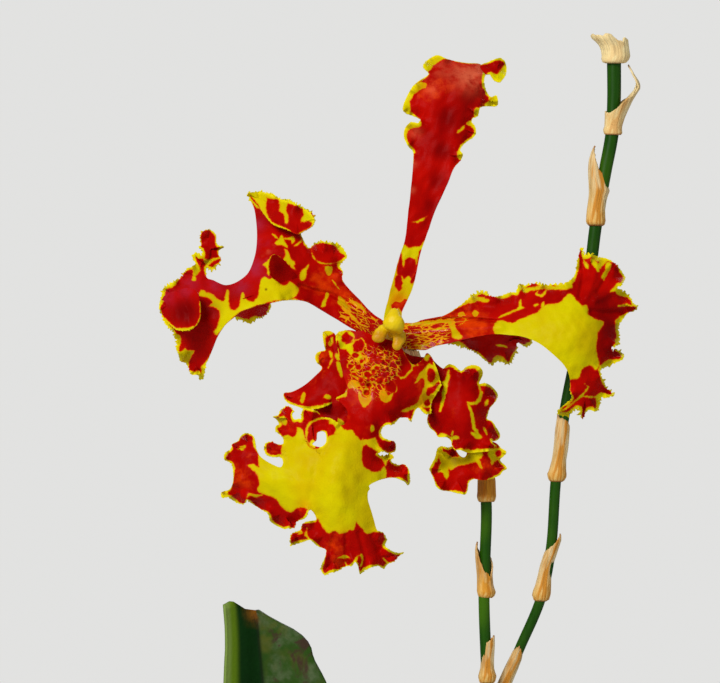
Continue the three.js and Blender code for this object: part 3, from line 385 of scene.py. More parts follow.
def petal_sheet(name, edge, pins, holes=(), creases=(), bumps=(), ruffle=1.5, teeth=(1.4, 3.6), seed=1,
                **colors):
    """One sheet of a petal, cut along its drawn outline, fringed, bent, ruffled and given its thickness."""
    loop = rounded(drawn(edge))
    gaps = [rounded(drawn(hole)) for hole in holes]
    sheet, flat, inset, run, length, strength, calm = cut_out(name, loop, gaps, teeth)
    waving = 2 * math.pi * max(1, round(length / SHEET["ruffle_length"])) / length
    fade = ease(1 - inset / SHEET["ruffle_reach"])
    frill = ease(1 - inset / FRILL["reach"]) * FRILL["height"]
    frill = frill * np.sin(run / FRILL["pitch"] + FRILL["drift"] * np.sin(run / FRILL["drift_pitch"]))
    depth = thin_plate(drawn(pins))(flat) + strength * calm * (ruffle * fade * np.sin(waving * run) + frill)
    depth += (SWELL["inside"] + SWELL["margin"] * strength * fade) * waves(flat, SWELL["lengths"], seed)
    for line, sink, wide in creases:
        depth += sink * np.exp(-((from_line(flat, drawn(line))[0] / wide) ** 2))
    depth -= soft_marks(flat, bumps)
    place_points(sheet, on_paper(flat[:, 0], flat[:, 1], depth))
    keep_colors(sheet, flat, inset, run, strength, seed, **colors)
    thin = SHEET["thin_edge"]
    weigh(sheet, thin + (1 - thin) * ease(inset / SHEET["thin_reach"]))
    if sheet.data.polygons[0].normal.y > 0:
        pick(sheet, np.ones(len(flat)))
        bpy.ops.mesh.flip_normals()
        bpy.ops.object.mode_set(mode="OBJECT")
    modify(sheet, "SOLIDIFY", thickness=SHEET["thick"] * MM, offset=-1, vertex_group="depth",
           thickness_vertex_group=0, material_offset=1)
    sheet.vertex_groups.clear()
    alone(sheet)
    bpy.ops.object.shade_smooth_by_angle(angle=math.radians(50))
    return sheet


# Materials

def feed(tree, value, socket):
    if isinstance(value, bpy.types.NodeSocket):
        tree.links.new(value, socket)
    elif value is not None:
        socket.default_value = value


def put(tree, kind, inputs=None, **settings):
    """Adds a node. Its inputs go by name or number and are values, colours or other nodes' outputs."""
    node = tree.nodes.new("ShaderNode" + kind)
    for key, value in settings.items():
        setattr(node, key, value)
    for key, value in (inputs or {}).items():
        feed(tree, value, node.inputs[key])
    return node


def value_of(tree, name):
    return put(tree, "Attribute", attribute_name=name).outputs["Fac"]


def here(tree):
    return put(tree, "TexCoord").outputs["Object"]


def calc(tree, operation, a, b=None, c=None):
    return put(tree, "Math", {0: a, 1: b, 2: c}, operation=operation).outputs[0]


def ramp(tree, value, low, high, smooth=True):
    """0 at low, 1 at high."""
    kind = "SMOOTHSTEP" if smooth else "LINEAR"
    inputs = {"Value": value, "From Min": low, "From Max": high}
    return put(tree, "MapRange", inputs, interpolation_type=kind).outputs["Result"]


def mix(tree, factor, a, b, blend="MIX"):
    a, b = ((*c, 1) if isinstance(c, tuple) else c for c in (a, b))
    return put(tree, "Mix", {0: factor, 6: a, 7: b}, data_type="RGBA", blend_type=blend).outputs[2]


def noise(tree, place, scale, detail=2.0, rough=0.5, warp=0.0):
    settings = {"Vector": place, "Scale": scale, "Detail": detail, "Roughness": rough, "Distortion": warp}
    return put(tree, "TexNoise", settings).outputs["Fac"]


def stretched(tree, place, scale):
    return put(tree, "Mapping", {"Vector": place, "Scale": scale}).outputs["Vector"]


def cells(tree, place, scale, feature):
    return put(tree, "TexVoronoi", {"Vector": place, "Scale": scale}, feature=feature)


def group(name, outputs, inputs=()):
    """A node group to be filled in: its tree, what is given to it and the node that its outputs go to."""
    tree = bpy.data.node_groups.new(name, "ShaderNodeTree")
    for label, kind in inputs:
        tree.interface.new_socket(label, in_out="INPUT", socket_type="NodeSocket" + kind)
    for label, kind in outputs:
        tree.interface.new_socket(label, in_out="OUTPUT", socket_type="NodeSocket" + kind)
    given = tree.nodes.new("NodeGroupInput").outputs
    return tree, given, tree.nodes.new("NodeGroupOutput").inputs


def use(tree, made, inputs=None):
    """Places a node group and gives its outputs."""
    node = tree.nodes.new("ShaderNodeGroup")
    node.node_tree = made
    for key, value in (inputs or {}).items():
        feed(tree, value, node.inputs[key])
    return node.outputs


def blotches_group():
    """Soft blotches: a mask that rises where cloudy noise goes from low to high."""
    numbers = ("Scale", "Detail", "Roughness", "Warp", "Low", "High", "Amount")
    inputs = [("Place", "Vector"), *((label, "Float") for label in numbers)]
    tree, given, out = group("blotches", [("Mask", "Float")], inputs)
    cloud = noise(tree, *(given[label] for label in ("Place", "Scale", "Detail", "Roughness", "Warp")))
    mask = ramp(tree, cloud, given["Low"], given["High"])
    tree.links.new(calc(tree, "MULTIPLY", mask, given["Amount"]), out["Mask"])
    return tree


BLOTCHES = blotches_group()


def blotches(tree, place, scale, low, high, detail=3.0, rough=0.6, warp=0.0, amount=1.0):
    """The mask of the blotches group, with its own size and cover."""
    return use(tree, BLOTCHES, {
        "Place": place, "Scale": scale, "Detail": detail, "Roughness": rough, "Warp": warp,
        "Low": low, "High": high, "Amount": amount,
    })["Mask"]


def where(tree, value, low, high, base, color, smooth=True):
    """The base colour, giving way to another as a value goes from low to high."""
    return mix(tree, ramp(tree, value, low, high, smooth), base, color)


def material(name):
    """A new material: itself, its node tree and its one surface shader."""
    made = bpy.data.materials.new(name)
    made.use_nodes = True
    return made, made.node_tree, made.node_tree.nodes["Principled BSDF"]


def dress(tree, surface, color, height=None, deep=0.1, strength=0.5, **inputs):
    """Sets a surface's colour, its bumps, deep in millimetres, and its other inputs by name."""
    feed(tree, (*color, 1) if isinstance(color, tuple) else color, surface.inputs["Base Color"])
    if height is not None:
        settings = {"Height": height, "Distance": deep * MM, "Strength": strength}
        feed(tree, put(tree, "Bump", settings).outputs["Normal"], surface.inputs["Normal"])
    for key, value in inputs.items():
        feed(tree, value, surface.inputs[key.replace("_", " ").title()])


RED = dict(
    deep=(0.31, 0.0008, 0.0003),
    bright=(0.46, 0.0024, 0.0003),
    # The red's own orange, also used as painted light.
    orange=(0.68, 0.040, 0.0003),
    # Painted shade on the red.
    shade=(0.15, 0.0005, 0.0008),
    border=(0.52, 0.012, 0.0003),
    # Painted sheen: a salmon highlight and a purple reflection.
    shine=(0.66, 0.105, 0.045),
    violet_sheen=(0.38, 0.014, 0.036),
)
GOLD = dict(
    lemon=(0.63, 0.56, 0.0003),
    egg=(0.57, 0.42, 0.0003),
    # The yellow's own orange, also used as painted reflection.
    orange=(0.60, 0.19, 0.0005),
    # Painted shade on the yellow.
    shade=(0.22, 0.13, 0.0010),
    border=(0.58, 0.28, 0.0006),
    net=(0.74, 0.28, 0.0010),
    rim=(0.76, 0.64, 0.004),
)
REVERSE_BROWN = (0.42, 0.13, 0.012)


def bloom_net(tree, place):
    """The fine gold net on the claws and the crest, drawn out along the grain: 1 on its threads."""
    grain = put(tree, "CombineXYZ", {0: value_of(tree, "along"), 1: value_of(tree, "aside")}).outputs[0]
    warp = put(tree, "TexNoise", {"Vector": grain, "Scale": NET["scale"], "Detail": 2})
    shift = put(tree, "VectorMath", {0: warp.outputs["Color"], 1: (0.5, 0.5, 0.5)}, operation="SUBTRACT")
    bent = put(tree, "VectorMath", {0: shift.outputs[0], 1: NET["bend"], 2: grain}, operation="MULTIPLY_ADD")
    net = cells(tree, bent.outputs[0], NET["scale"], "DISTANCE_TO_EDGE").outputs["Distance"]
    gauge = calc(tree, "MULTIPLY_ADD", noise(tree, place, 300, 2), 0.50, -0.17)
    return calc(tree, "LESS_THAN", net, calc(tree, "MULTIPLY", gauge, value_of(tree, "mottle")))


def bloom_paint():
    """Red over yellow, as the kept fields say, with the netted claws and crest and the crepe of the skin."""
    tree, _, out = group("bloom paint", [("Color", "Color"), ("Height", "Float")])
    place = here(tree)
    wander = calc(tree, "SUBTRACT", noise(tree, place, 900, 3, 0.6), 0.5)
    field = calc(tree, "MULTIPLY_ADD", wander, 0.75, value_of(tree, "yellow"))
    yellow = ramp(tree, field, -0.06, 0.06)
    netted = bloom_net(tree, place)
    # This field turns the red and the gold orange above 0, partly their own tone and partly painted light, and
    # darkens them below 0 as painted shade.
    orange_tone_light_and_shade = value_of(tree, "orange_tone_light_and_shade")
    speckle = noise(tree, place, 380, 4, 0.65)
    red = mix(tree, blotches(tree, place, 110, 0.3, 0.7), RED["deep"], RED["bright"])
    heat = calc(tree, "MULTIPLY_ADD", speckle, 2.2, calc(tree, "SUBTRACT", orange_tone_light_and_shade, 1.5))
    heat = calc(tree, "MULTIPLY", ramp(tree, heat, -0.1, 0.9), ramp(tree, orange_tone_light_and_shade, 0.0, 0.35))
    red = mix(tree, heat, red, RED["orange"])
    # Painted shade on the red where that field is below 0.
    red = where(tree, orange_tone_light_and_shade, 0.0, -0.9, red, RED["shade"])
    red = where(tree, field, -0.34, -0.02, red, RED["border"])
    # Painted sheen: salmon highlights where the sheen field is above 0, a purple reflection where it is below
    # 0.
    pale = calc(tree, "MULTIPLY", value_of(tree, "pale"), ramp(tree, speckle, 0.25, 0.6))
    red = where(tree, pale, 0.0, 1.0, red, RED["shine"], False)
    red = where(tree, pale, 0.0, -1.0, red, RED["violet_sheen"], False)
    gold = mix(tree, blotches(tree, place, 90, 0.3, 0.7), GOLD["lemon"], GOLD["egg"])
    # Orange on the yellow, partly its own tone and partly a painted reflection, then painted shade where that
    # field is below 0.
    gold = where(tree, orange_tone_light_and_shade, 0.0, 1.2, gold, GOLD["orange"])
    gold = where(tree, orange_tone_light_and_shade, 0.0, -0.9, gold, GOLD["shade"])
    gold = where(tree, field, 0.32, 0.0, gold, GOLD["border"])
    gold = mix(tree, calc(tree, "MULTIPLY", netted, 0.75), gold, GOLD["net"])
    gold = mix(tree, value_of(tree, "rim"), gold, GOLD["rim"])
    golden = calc(tree, "MAXIMUM", yellow, netted)
    tree.links.new(mix(tree, golden, red, gold), out["Color"])
    crepe = noise(tree, place, 2600, 2, 0.6)
    crinkle = noise(tree, place, 520, 3, 0.55, 0.6)
    tree.links.new(calc(tree, "MULTIPLY_ADD", crepe, 0.35, crinkle), out["Height"])
    return tree


PAINT = bloom_paint()


def petal_material(name, roughness, deep):
    made, tree, surface = material(name)
    paint = use(tree, PAINT)
    dress(tree, surface, paint["Color"], paint["Height"], deep=deep, strength=0.6, roughness=roughness)
    feed(tree, calc(tree, "MULTIPLY", value_of(tree, "mottle"), 0.5), surface.inputs["Coat Weight"])
    surface.inputs["Coat Roughness"].default_value = 0.16
    surface.inputs["Coat IOR"].default_value = 1.25
    surface.inputs["Specular IOR Level"].default_value = 0.02
    return made


def petal_back(name):
    """The reverse, duller and browner, with the front's pattern showing through."""
    made, tree, surface = material(name)
    paint = use(tree, PAINT)
    dull = mix(tree, 0.45, paint["Color"], REVERSE_BROWN)
    dress(tree, surface, dull, paint["Height"], deep=0.2, strength=0.6, roughness=0.5)
    surface.inputs["Specular IOR Level"].default_value = 0.1
    return made


PETAL = petal_material("petal red and yellow", 0.40, 0.22)
PETAL_BACK = petal_back("petal reverse")
LIP = petal_material("lip red and yellow", 0.36, 0.26)
LIP_BACK = petal_back("lip reverse")


# Drawings of the bloom's sheets: edge points x,y[,how ruffled and fringed], pins x,y,depth

# Glow marks, x,y,reach,amount: above 0 they turn the red and yellow orange, partly the bloom's own tone and
# partly painted light; below 0 they are painted shade. Sheen marks are painted sheen: salmon highlights above
# 0, a purple reflection below 0.
SHEETS = {
    "dorsal_sepal": [
        dict(
            seed=11, teeth=(0.9, 4), margin=1.6, ruffle=1.2,
            edge="""
                384,322,0 388,300,0 393,280,0 400,255,0 405,240,0 408,215,0 411,190,0 413,165,0 413,152
                408,146 404,137 405,128 411,122 418,123 420,119 413,116 403,111 404,103 408,94 413,86
                420,80 428,75 427,71 423,67 425,62 432,57 438,55 445,58 455,61,0.4 468,63,0.2 480,64,0.2
                486,72,0.3 484,80 486,90 491,97 496,95 498,100 497,106 488,106 480,108 478,116 473,118
                472,122 475,126 476,134 471,139 465,143 460,150 463,154 461,160 456,165,0.4 452,172,0
                448,182,0 442,195,0 436,208,0 430,225,0 425,240,0 420,255,0 416,275,0 412,290,0
                406,303,0 402,312,0 400,320,0
                """,
            pins="""
                393,318,1.4 399,290,1.8 410,240,3 424,240,3.2 411,190,4 430,190,5.2 446,188,4.4
                441,140,6.6 405,136,8.5 405,106,9 444,105,8 470,130,8.5 440,78,10 468,85,9.5 430,58,14
                470,63,15 490,100,12
                """,
            creases=[
                ("448,95 446,130 442,165 436,195 428,225", 0.5, 7),
            ],
            yellow=[
                "398,100 408,98 410,104 411,112 414,116 404,118 398,112",
                "404,98 409,90 414,85 421,82 427,84 425,88 418,91 413,96 409,102 404,104",
                "420,72 421,62 430,53 440,52 444,58 438,62 433,66 430,70 426,73",
                """
                    408,118 419,120 421,126 414,128 408,131 407,138 410,145 415,150 414,154 405,150
                    400,138 403,124
                    """,
                "483,104 490,101 494,94 500,95 500,108 490,107",
                "466,124 472,120 478,128 476,136 470,140 474,133 472,127",
                "457,152 461,150 465,155 461,160 458,158",
                "474,109 479,108 481,116 475,119",
                "399,246 404,244 408,248 414,247 420,246 424,241 430,240 424,330 378,330 392,270",
            ],
            red=[
                """
                    405,260 410,258 415,260 416,266 416,272 413,276 412,279 408,276 404,279 402,276
                    398,276 396,270 398,264 399,256 401,252 402,258 403,266 404,266
                    """,
                "396,276 400,274 402,280 402,288 399,292 396,288 395,282",
                "419,252 422,250 420,264 417,276 413,284 410,282 414,274 417,264",
                "392,304 396,301 400,303 404,299 408,300 405,306 402,312 398,308 394,310 391,307",
            ],
            lines=[
                ("457,133 461,130 464,126", 2.5),
                ("412,222 417,222 423,219 427,216", 1.8),
                ("489,64 486,70 484,80 486,90 490,98", 5),
            ],
            tone_light_and_shade_marks="""
                430,88,13,0.9 450,84,10,0.5 419,97,8,0.3 418,170,9,0.35 399,303,9,1 418,262,5,0.9
                398,256,5,0.6 448,118,13,-0.6 441,150,12,-0.6 437,180,11,-0.5 430,205,9,-0.4
                468,100,12,-0.5 478,112,8,-0.3 396,290,14,0.4 404,255,10,-0.2
                """,
            sheen="""
                473,78,12,0.9 458,72,13,0.55 438,68,8,0.3 415,133,6,0.45 413,165,4,0.5 412,190,3.5,0.4
                431,88,7,0.45 480,66,7,0.5
                """,
        ),
        dict(
            seed=12, teeth=(0.9, 4), margin=1.6, ruffle=0.8,
            edge="480,66,0 488,62 495,59 501,58 506,64 506,74 500,82 494,80 490,74 486,74,0",
            pins="482,70,13.6 495,60,15.5 505,70,15 497,80,12",
            yellow=[
                "487,80 490,72 496,74 500,71 505,64 509,66 508,80 498,86 490,82",
            ],
        ),
    ],
    "petal_left": [
        dict(
            seed=21, teeth=(4.2, 3.5), margin=3.2, grain=(33, 0.75, 1.7),
            edge="""
                384,322,0 382,333,0 372,338,0 360,333,0 348,326,0 340,321,0 330,315,0 320,309,0
                310,303,0 300,300,0.3 290,300,0.3 280,301,0.3 270,303,0 262,304,0 250,308,0 240,312,0
                233,318,0 226,324,0 220,332,0 216,340,0 212,350,0 208,360,0.3 205,368 204,377 200,380
                198,375 192,375 189,370 186,363 181,362 178,354 176,348 176,340 174,335 172,330 168,327
                164,322 162,315 159,308 160,300 162,293 164,287 170,284 176,280 182,277 186,270 192,266
                196,264 193,259 193,254 197,253 201,255 202,250 198,246 201,245,0.6 200,238,0.5
                201,233,0.6 205,230,0.6 211,230,0.5 216,235,0.3 216,241,0.2 218,245,0.7 224,247
                219,250,0.4 219,256,0.5 221,259,0.5 217,266 212,270 207,267 206,272,0.5 207,278,0
                213,280,0 219,283,0 225,285,0 232,284,0 240,280,0 248,273,0 253,262,0 256,250,0
                257,235,0 256,220,0 254,208,0 250,200,0.5 248,193 255,192 262,191 266,194 273,194
                280,199 286,199 292,201 298,205 305,209 312,213 315,220 312,226,0.4 305,230,0.3
                301,233,0.3 303,239,0.3 307,246,0.5 310,248 314,244 322,241 330,243 338,244 345,251
                347,257 342,262 340,266 343,272 342,278,0.5 345,284,0 352,292,0 360,300,0 368,309,0
                376,316,0
                """,
            pins="""
                376,329,0.6 352,316,-0.6 352,298,1.6 322,302,-0.4 322,282,0.8 300,293,-2.5 270,291,-4.5
                240,300,-4.2 215,312,-3 205,345,-0.5 200,374,3 176,310,-1 162,300,2 190,284,1.5
                207,256,6 209,235,9 235,287,1.5 256,245,6 252,200,11 285,212,9 310,218,9 285,250,1.8
                320,258,2.4 338,250,5
                """,
            creases=[
                ("300,286 315,291 330,294 346,302 360,313", 0.9, 2.5),
                ("252,274 260,262 268,251 276,242", -0.55, 4.5),
            ],
            yellow=[
                """
                    299,290 296,286 290,281 286,285 282,285 277,281 273,277 270,279 266,277 261,278
                    260,284 259,290 258,296 254,301 249,301 245,297 243,292 241,295 240,302 238,308
                    233,310 230,308 229,301 229,293 227,290 225,296 224,301 219,300 215,297 211,293
                    206,292 201,290 199,296 206,297 211,300 213,303 208,306 214,307 219,310 220,315
                    219,321 217,327 214,332 217,335 221,331 226,325 233,318 240,312 250,308 262,304
                    275,301 290,299 296,296
                    """,
                "244,188 268,188 268,206 257,208",
                "158,306 163,314 166,320 171,327 175,331 176,336 171,336 160,320",
                "175,345 180,352 185,348 188,350 194,351 192,356 189,361 188,366 182,366 174,352",
                "189,370 193,371 198,373 204,378 196,380 188,374",
                "325,267 332,266 332,273 329,276 326,273",
                "299,275 302,270 306,267 309,264 307,271 305,279 302,281 300,279",
                "326,292 329,294 327,300 325,306 321,307 322,302 325,298",
                "338,296 343,298 346,303 350,306 348,309 342,305 338,302",
                """
                    284,249 287,250 289,254 291,259 294,261 295,264 293,266 296,270 291,267 289,264
                    287,265 286,261 281,261 284,258 286,255
                    """,
                """
                    275,243 277,240 280,237 282,235 284,238 284,241 286,243 288,248 283,246 280,245
                    277,245
                    """,
                "286,238 290,237 293,236 295,239 294,242 292,244 291,240 288,240",
                "262,265 266,262 269,259 271,263 269,267 270,271 269,277 267,272 267,268 264,266",
                "193,266 197,262 200,268 200,272 196,276 196,281 192,280 193,274",
                "203,258 208,260 214,258 220,258 212,262 208,266 205,264",
            ],
            lines=[
                ("311,247 312,254 315,260 321,263 330,264 338,262", 1.1),
                ("272,234 275,236 279,240", 1.8),
                ("283,238 286,238.5 289,238", 1.4),
                ("294,246 298,244 301,241 302,236", 1.6),
                ("332,280 336,285 340,290", 1),
                ("350,300 356,303 362,308 366,313", 3),
                ("338,302 344,308 352,316 360,324", 2.4),
            ],
            mottle="345,296 360,300 372,312 384,322 382,334 370,338 352,328 338,318 340,305",
            tone_light_and_shade_marks="""
                266,289.5,1.6,-1 283,256,9,-0.3 322,280,16,1 345,298,14,0.6 300,290,10,0.4
                358,308,10,0.4 262,300,12,0.2 196,350,14,-0.5 212,310,12,-0.5 225,283,10,-0.4
                330,252,9,-0.2
                """,
            sheen="""
                262,258,4,0.45 268,251,3,0.5 273,245,3,0.5 266,272,4,0.4 240,285,8,-0.9 254,268,8,-0.9
                257,245,6,-0.8 258,225,6,-0.7 262,262,6,-0.6 190,284,8,-0.6 215,286,8,-0.7
                264,275,6,-0.6 270,245,5,-0.4 168,296,6,-0.4
                """,
        ),
        dict(
            seed=22, teeth=(4.2, 3.5), margin=3.2, ruffle=0.7,
            edge="""
                176,291,0 186,288,0 195,290,0 199,297,0.04 200,308,0.07 200,317,0.12 196,325,0.4
                188,330,0.5 178,330,0.6 170,325,0.6 164,318,0.4 161,309,0 162,299,0 168,293,0
                """,
            pins="163,303,1.3 168,318,-1.4 178,291,-1 198,295,-5.5 200,314,-7 186,328,-6",
            creases=[
                ("176,292 184,300 190,312 190,326", 0.8, 4),
                ("168,300 174,310 176,326", -0.6, 4),
            ],
            # Painted shade over the rolled lobe, with a painted purple sheen at its top.
            tone_light_and_shade_marks="184,312,17,-0.75",
            sheen="166,297,8,-0.7 186,290,7,-0.6",
        ),
        dict(
            seed=23, teeth=(0.9, 4), margin=1.5, ruffle=0.8,
            edge="""
                296,281,0 288,284,0 278,282,0 271,276,0 269,268,0.3 270,259,0.25 274,254.5,0.15
                279,256,0.12 285,261,0 290,267,0 295,274,0
                """,
            pins="292,277,-2.4 280,281,-3.4 268,270,-7.5 274,257,-7 284,262,-4.5",
            # Painted shade in this flap's dark pocket.
            tone_light_and_shade_marks="279,268,9,-0.5",
        ),
        dict(
            seed=24, teeth=(4.2, 3.5), margin=3.2, ruffle=1,
            edge="""
                250,196,0 262,192 272,195 282,200 288,201 298,205 308,211 314,219 312,226,0.2
                304,231,0.2 297,234,0.35 286,229,0.4 274,225,0.5 266,217,0.4 258,206,0
                """,
            pins="256,200,10.6 264,212,8.2 276,224,3 297,232,1.5 285,206,5.5 311,218,3.4",
            yellow=[
                """
                    249,192 262,190 266,194 267,200 266,208 268,216 272,222 268,221 264,214 260,208
                    256,202
                    """,
                """
                    279,200 287,198 288,204 286,210 288,216 288,224 285,223 284,216 281,212 279,210
                    280,205
                    """,
                "303,209 310,211 316,218 314,224 309,221 301,222 302,217 304,214",
            ],
        ),
        dict(
            seed=25, teeth=(4.2, 3.5), margin=3.2, ruffle=0.8,
            edge="""
                234,317 240,320 246,322 250,324 255,320 262,317 268,312 271,306 266,298,0 250,296,0
                238,304,0
                """,
            pins="255,296,-4.2 240,307,-2 268,300,-2.6 250,320,3.5 268,308,1.5 238,317,1",
        ),
    ],
    "petal_right": [
        dict(
            seed=31, teeth=(4.8, 4.3), margin=3.6, grain=(-6, 0.6, 1.8), netting=0.86,
            edge="""
                400,325,0 412,323,0 425,320,0 440,317,0 452,311,0.2 462,304,0.4 470,297 477,293 482,291
                490,296 500,296 510,292 516,292 519,284 524,285 530,284 536,283 545,285 553,284 562,284
                570,280 575,274 577,262 579,254 580,247 583,250 585,255 592,254 598,257 606,258 612,261
                618,266 623,273 625,278 622,285 619,288 625,292 631,298 634,304 638,306 636,310 628,313
                624,318 620,323 619,330 620,338 618,345 613,347 612,351 619,351 624,355 622,360 614,363
                607,367 601,370 603,380 608,388 613,395 606,398 601,398 599,408 595,412 590,410 586,412
                583,419 580,414 578,408 572,412 566,416 560,416 557,413 561,408 567,403 572,398
                570,390,0.4 570,380,0 568,372,0 563,364,0 556,357,0 548,350,0 540,344,0 530,339,0
                520,336,0 510,335,0 495,334,0 480,336,0 465,339,0 450,343,0 435,346,0 425,350,0
                412,349,0 402,347,0
                """,
            pins="""
                408,338,0.6 430,333,-0.6 455,325,-1.2 462,306,1.4 500,326,-3.6 500,300,0.6 540,326,-6
                540,290,-0.4 575,335,-7.5 572,300,-4 578,368,-6.5 600,335,-4.4 617,335,0.5 585,398,-4
                562,411,-1 606,394,-1 600,300,-2 632,306,3 622,278,3.5 583,255,4 605,262,3.5
                """,
            creases=[
                ("412,323 440,319.5 460,318.5 480,319.5 497,321", 1.0, 1.6),
                ("405,334 430,331 455,328 480,327 500,326", -0.9, 6),
                ("592,312 606,314 622,312", 1.2, 4),
                ("596,300 610,292 622,286", -0.8, 4),
                ("580,296 584,275 582,262", 0.8, 3),
                ("588,296 594,278 598,262", -0.6, 3.5),
                ("598,292 606,278 612,268", 0.7, 3),
            ],
            yellow=[
                """
                    493,329 495,323 499,320 505,321 512,323 520,319 530,315 538,312 543,306 548,304
                    555,304 560,302 565,297 569,293 573,295 576,300 579,302 582,306 586,305 588,308
                    588,314 592,317 598,320 604,322 601,328 598,333 597,340 596,348 597,354 599,362
                    598,368 595,370 592,366 587,366 582,370 580,377 575,379 571,380 564,381 557,368
                    547,356 535,347 524,342 510,338 497,336
                    """,
                "446,319 453,320 456,328 460,333 463,337 458,340 452,337 451,330 448,324",
                "472,313 475,310 479,313 475,317",
                "458,314 463,312 465,315 460,317",
                "466,299 474,296 482,297 489,300 486,303 478,301 470,304",
                """
                    522,289 530,287 540,287 552,286 566,286 572,284 572,288 560,290 545,289 532,291
                    524,293
                    """,
                "592,258 597,262 600,270 598,272 594,267 590,260",
                "606,262 612,264 608,272 603,279 601,277 605,270",
                "514,312 518,307 519,302 521,299 522,306 525,308 519,310",
                "541,304 544,302 545,307 542,309",
                "534,305 538,303 539,305 535,307",
                "583,258 586,262 589,266 588,269 585,267 583,262",
                "597,265 600,261 601,257 606,258 607,262 602,266 600,270",
                "610,291 616,286 621,286 618,291 612,292",
            ],
            lines=[
                ("498,318 505,315 513,311 519,309", 1.8),
                ("403,327 410,324.5 420,323 430,321.5", 2.8),
                ("420,326 430,323 440,321 452,321", 3.4),
                ("432,330 440,328.5 449,328", 2),
                ("414,345 422,346 430,343", 2),
                ("404,333 414,334 424,338", 1.4),
                ("538,291 536,294 541,296 544,294 546,290 541,286 537,287 536,290", 1.6),
                ("610,268 606,274 603,280", 1.8),
                ("618,306 626,305 633,306", 2.2),
                ("557,414 565,409 574,402 581,396 586,391 588,387 585,384", 2),
                ("581,396 590,397 600,397 610,396 613,394", 2),
            ],
            mottle="396,322 420,319 447,316 468,314 470,322 452,330 450,342 425,353 396,351",
            tone_light_and_shade_marks="""
                480,327,15,0.9 462,317,12,0.7 500,310,12,0.3 440,322,14,0.5 425,340,14,-0.3
                470,303,10,0.3 470,336,12,0.3 600,300,14,-0.5 612,322,14,-0.5 610,350,12,-0.5
                590,405,10,-0.4 585,375,8,0.2 580,280,10,0.15 540,298,12,0.2
                """,
        ),
        dict(
            seed=32, teeth=(4.6, 3.7), margin=3.4,
            edge="""
                440,338,0 447,343 455,345 462,347 468,349 474,351 480,356 486,361 492,365 498,361
                504,363 509,364 514,357 517,350 517,343 522,345 526,347 532,343 528,338,0 510,333,0
                490,331,0 465,333,0
                """,
            pins="""
                450,333,-0.6 485,328,-2.5 515,331,-3.8 450,343,2 476,351,4 494,361,6.5 512,356,5
                528,341,1
                """,
            lines=[
                ("496,345 502,346 507,347", 2),
            ],
            # Painted shade over this flap, which lies in shadow under the petal.
            tone_light_and_shade_marks="480,345,30,-0.3",
        ),
    ],
    "lip": [
        dict(
            seed=41, teeth=(1.8, 3.2), margin=1.9, grain=(38, 0.85, 1.4), netting=0.8,
            edge="""
                336,334 348,330,0.4 355,331,0 363,331,0 372,335,0 380,338,0 390,340,0 400,345,0
                406,356,0.1 412,364,0.25 418,363,0.25 424,358,0.2 427,353,0 431,356,0 434,362,0.7
                438,372 440,380 441,386 436,395 431,404 431,412 428,414 424,413 419,408 415,411 411,422
                408,418 400,418 397,421 392,425 386,425 381,431 383,437 389,440 395,442 396,449 394,452
                388,453,0.5 384,451 378,454 384,456 390,454 394,457 391,461 398,465 404,464 409,470
                410,478 409,485 403,481 396,478,0.5 388,478,0.2 380,480,0.2 373,483,0.2 369,486,0.1
                370,489,0.1 368,492,0 368,500,0 371,510,0 374,520,0 377,530,0.3 383,533 387,540 385,546
                392,551 398,553 404,552 398,557 393,562 388,564 384,568 378,566 370,568 364,571 360,574
                358,566 355,562 352,566 348,566 342,568 338,571 330,573 325,575 321,571 322,564 325,557
                326,550,0.5 322,548,0.5 316,545 310,540 303,542 296,544 291,545 290,538 293,533 300,530
                302,525 306,522 311,521 316,520,0.3 315,515,0.3 311,510,0.2 308,512 306,517 301,520
                296,522 294,528 288,528 284,529 277,526 270,521 268,514 262,510 254,505 247,500 245,503
                240,504 232,500 228,497 222,498 221,493 225,491 230,489 233,482 233,472 232,465 229,462
                224,459 225,453 231,449 232,444 238,441 240,437 245,433 252,435 255,440 256,448,0.5
                260,456,0 268,462,0 276,466,0 281,467,0 283,462,0.4 280,457 272,457 266,454 264,448
                266,443 272,442 278,444 283,444,0.5 283,438,0.5 279,434 275,430 276,426 279,424 276,419
                273,417 278,415 281,410 287,406 293,410 300,420 303,409 310,409 318,412 322,417 330,418
                338,423 343,425,0 347,420,0 347,410,0 340,402,0 336,398,0.5 345,393,0 347,386,0
                343,374,0 340,362,0 338,350,0.5
                """,
            holes=[
                "292,413 297,412 299,418 294,419",
                "325,432 326,442 320,447 312,444 316,440 317,433 320,431",
            ],
            pins="""
                338,338,-1.5 365,346,-3.6 394,354,-3.6 346,390,-4 378,380,-5 412,380,-4 430,360,0
                438,380,-1 428,405,-1.5 385,410,-6.5 352,415,-6.5 400,416,-4 375,435,-8.5 392,445,-5.5
                346,450,-12 330,490,-13.5 362,500,-11.5 400,472,-6.5 345,525,-13 378,540,-9 400,553,-5
                330,568,-9 362,568,-9.5 300,538,-7 305,485,-11 270,480,-8.5 240,485,-5 226,495,-2
                244,442,-3 270,448,-5 300,450,-8.5 290,420,-6 278,420,-3.5 312,420,-7.5 336,426,-7.5
                284,520,-6 255,503,-4.5
                """,
            creases=[
                ("345,430 338,460 336,505", -0.8, 14),
                ("322,452 315,478 312,500 318,520", 0.6, 6),
                ("334,534 331,550 329,566", 0.45, 2.4),
                ("346,535 346,550 347,563", 0.45, 2.2),
                ("359,533 363,548 366,564", 0.5, 2.6),
                ("372,535 377,548 384,560", 0.4, 2.6),
            ],
            yellow=[
                """
                    337,332 350,331 354,336 354,344 352,346 355,350 361,354 364,360 360,363 353,358
                    346,350 340,348
                    """,
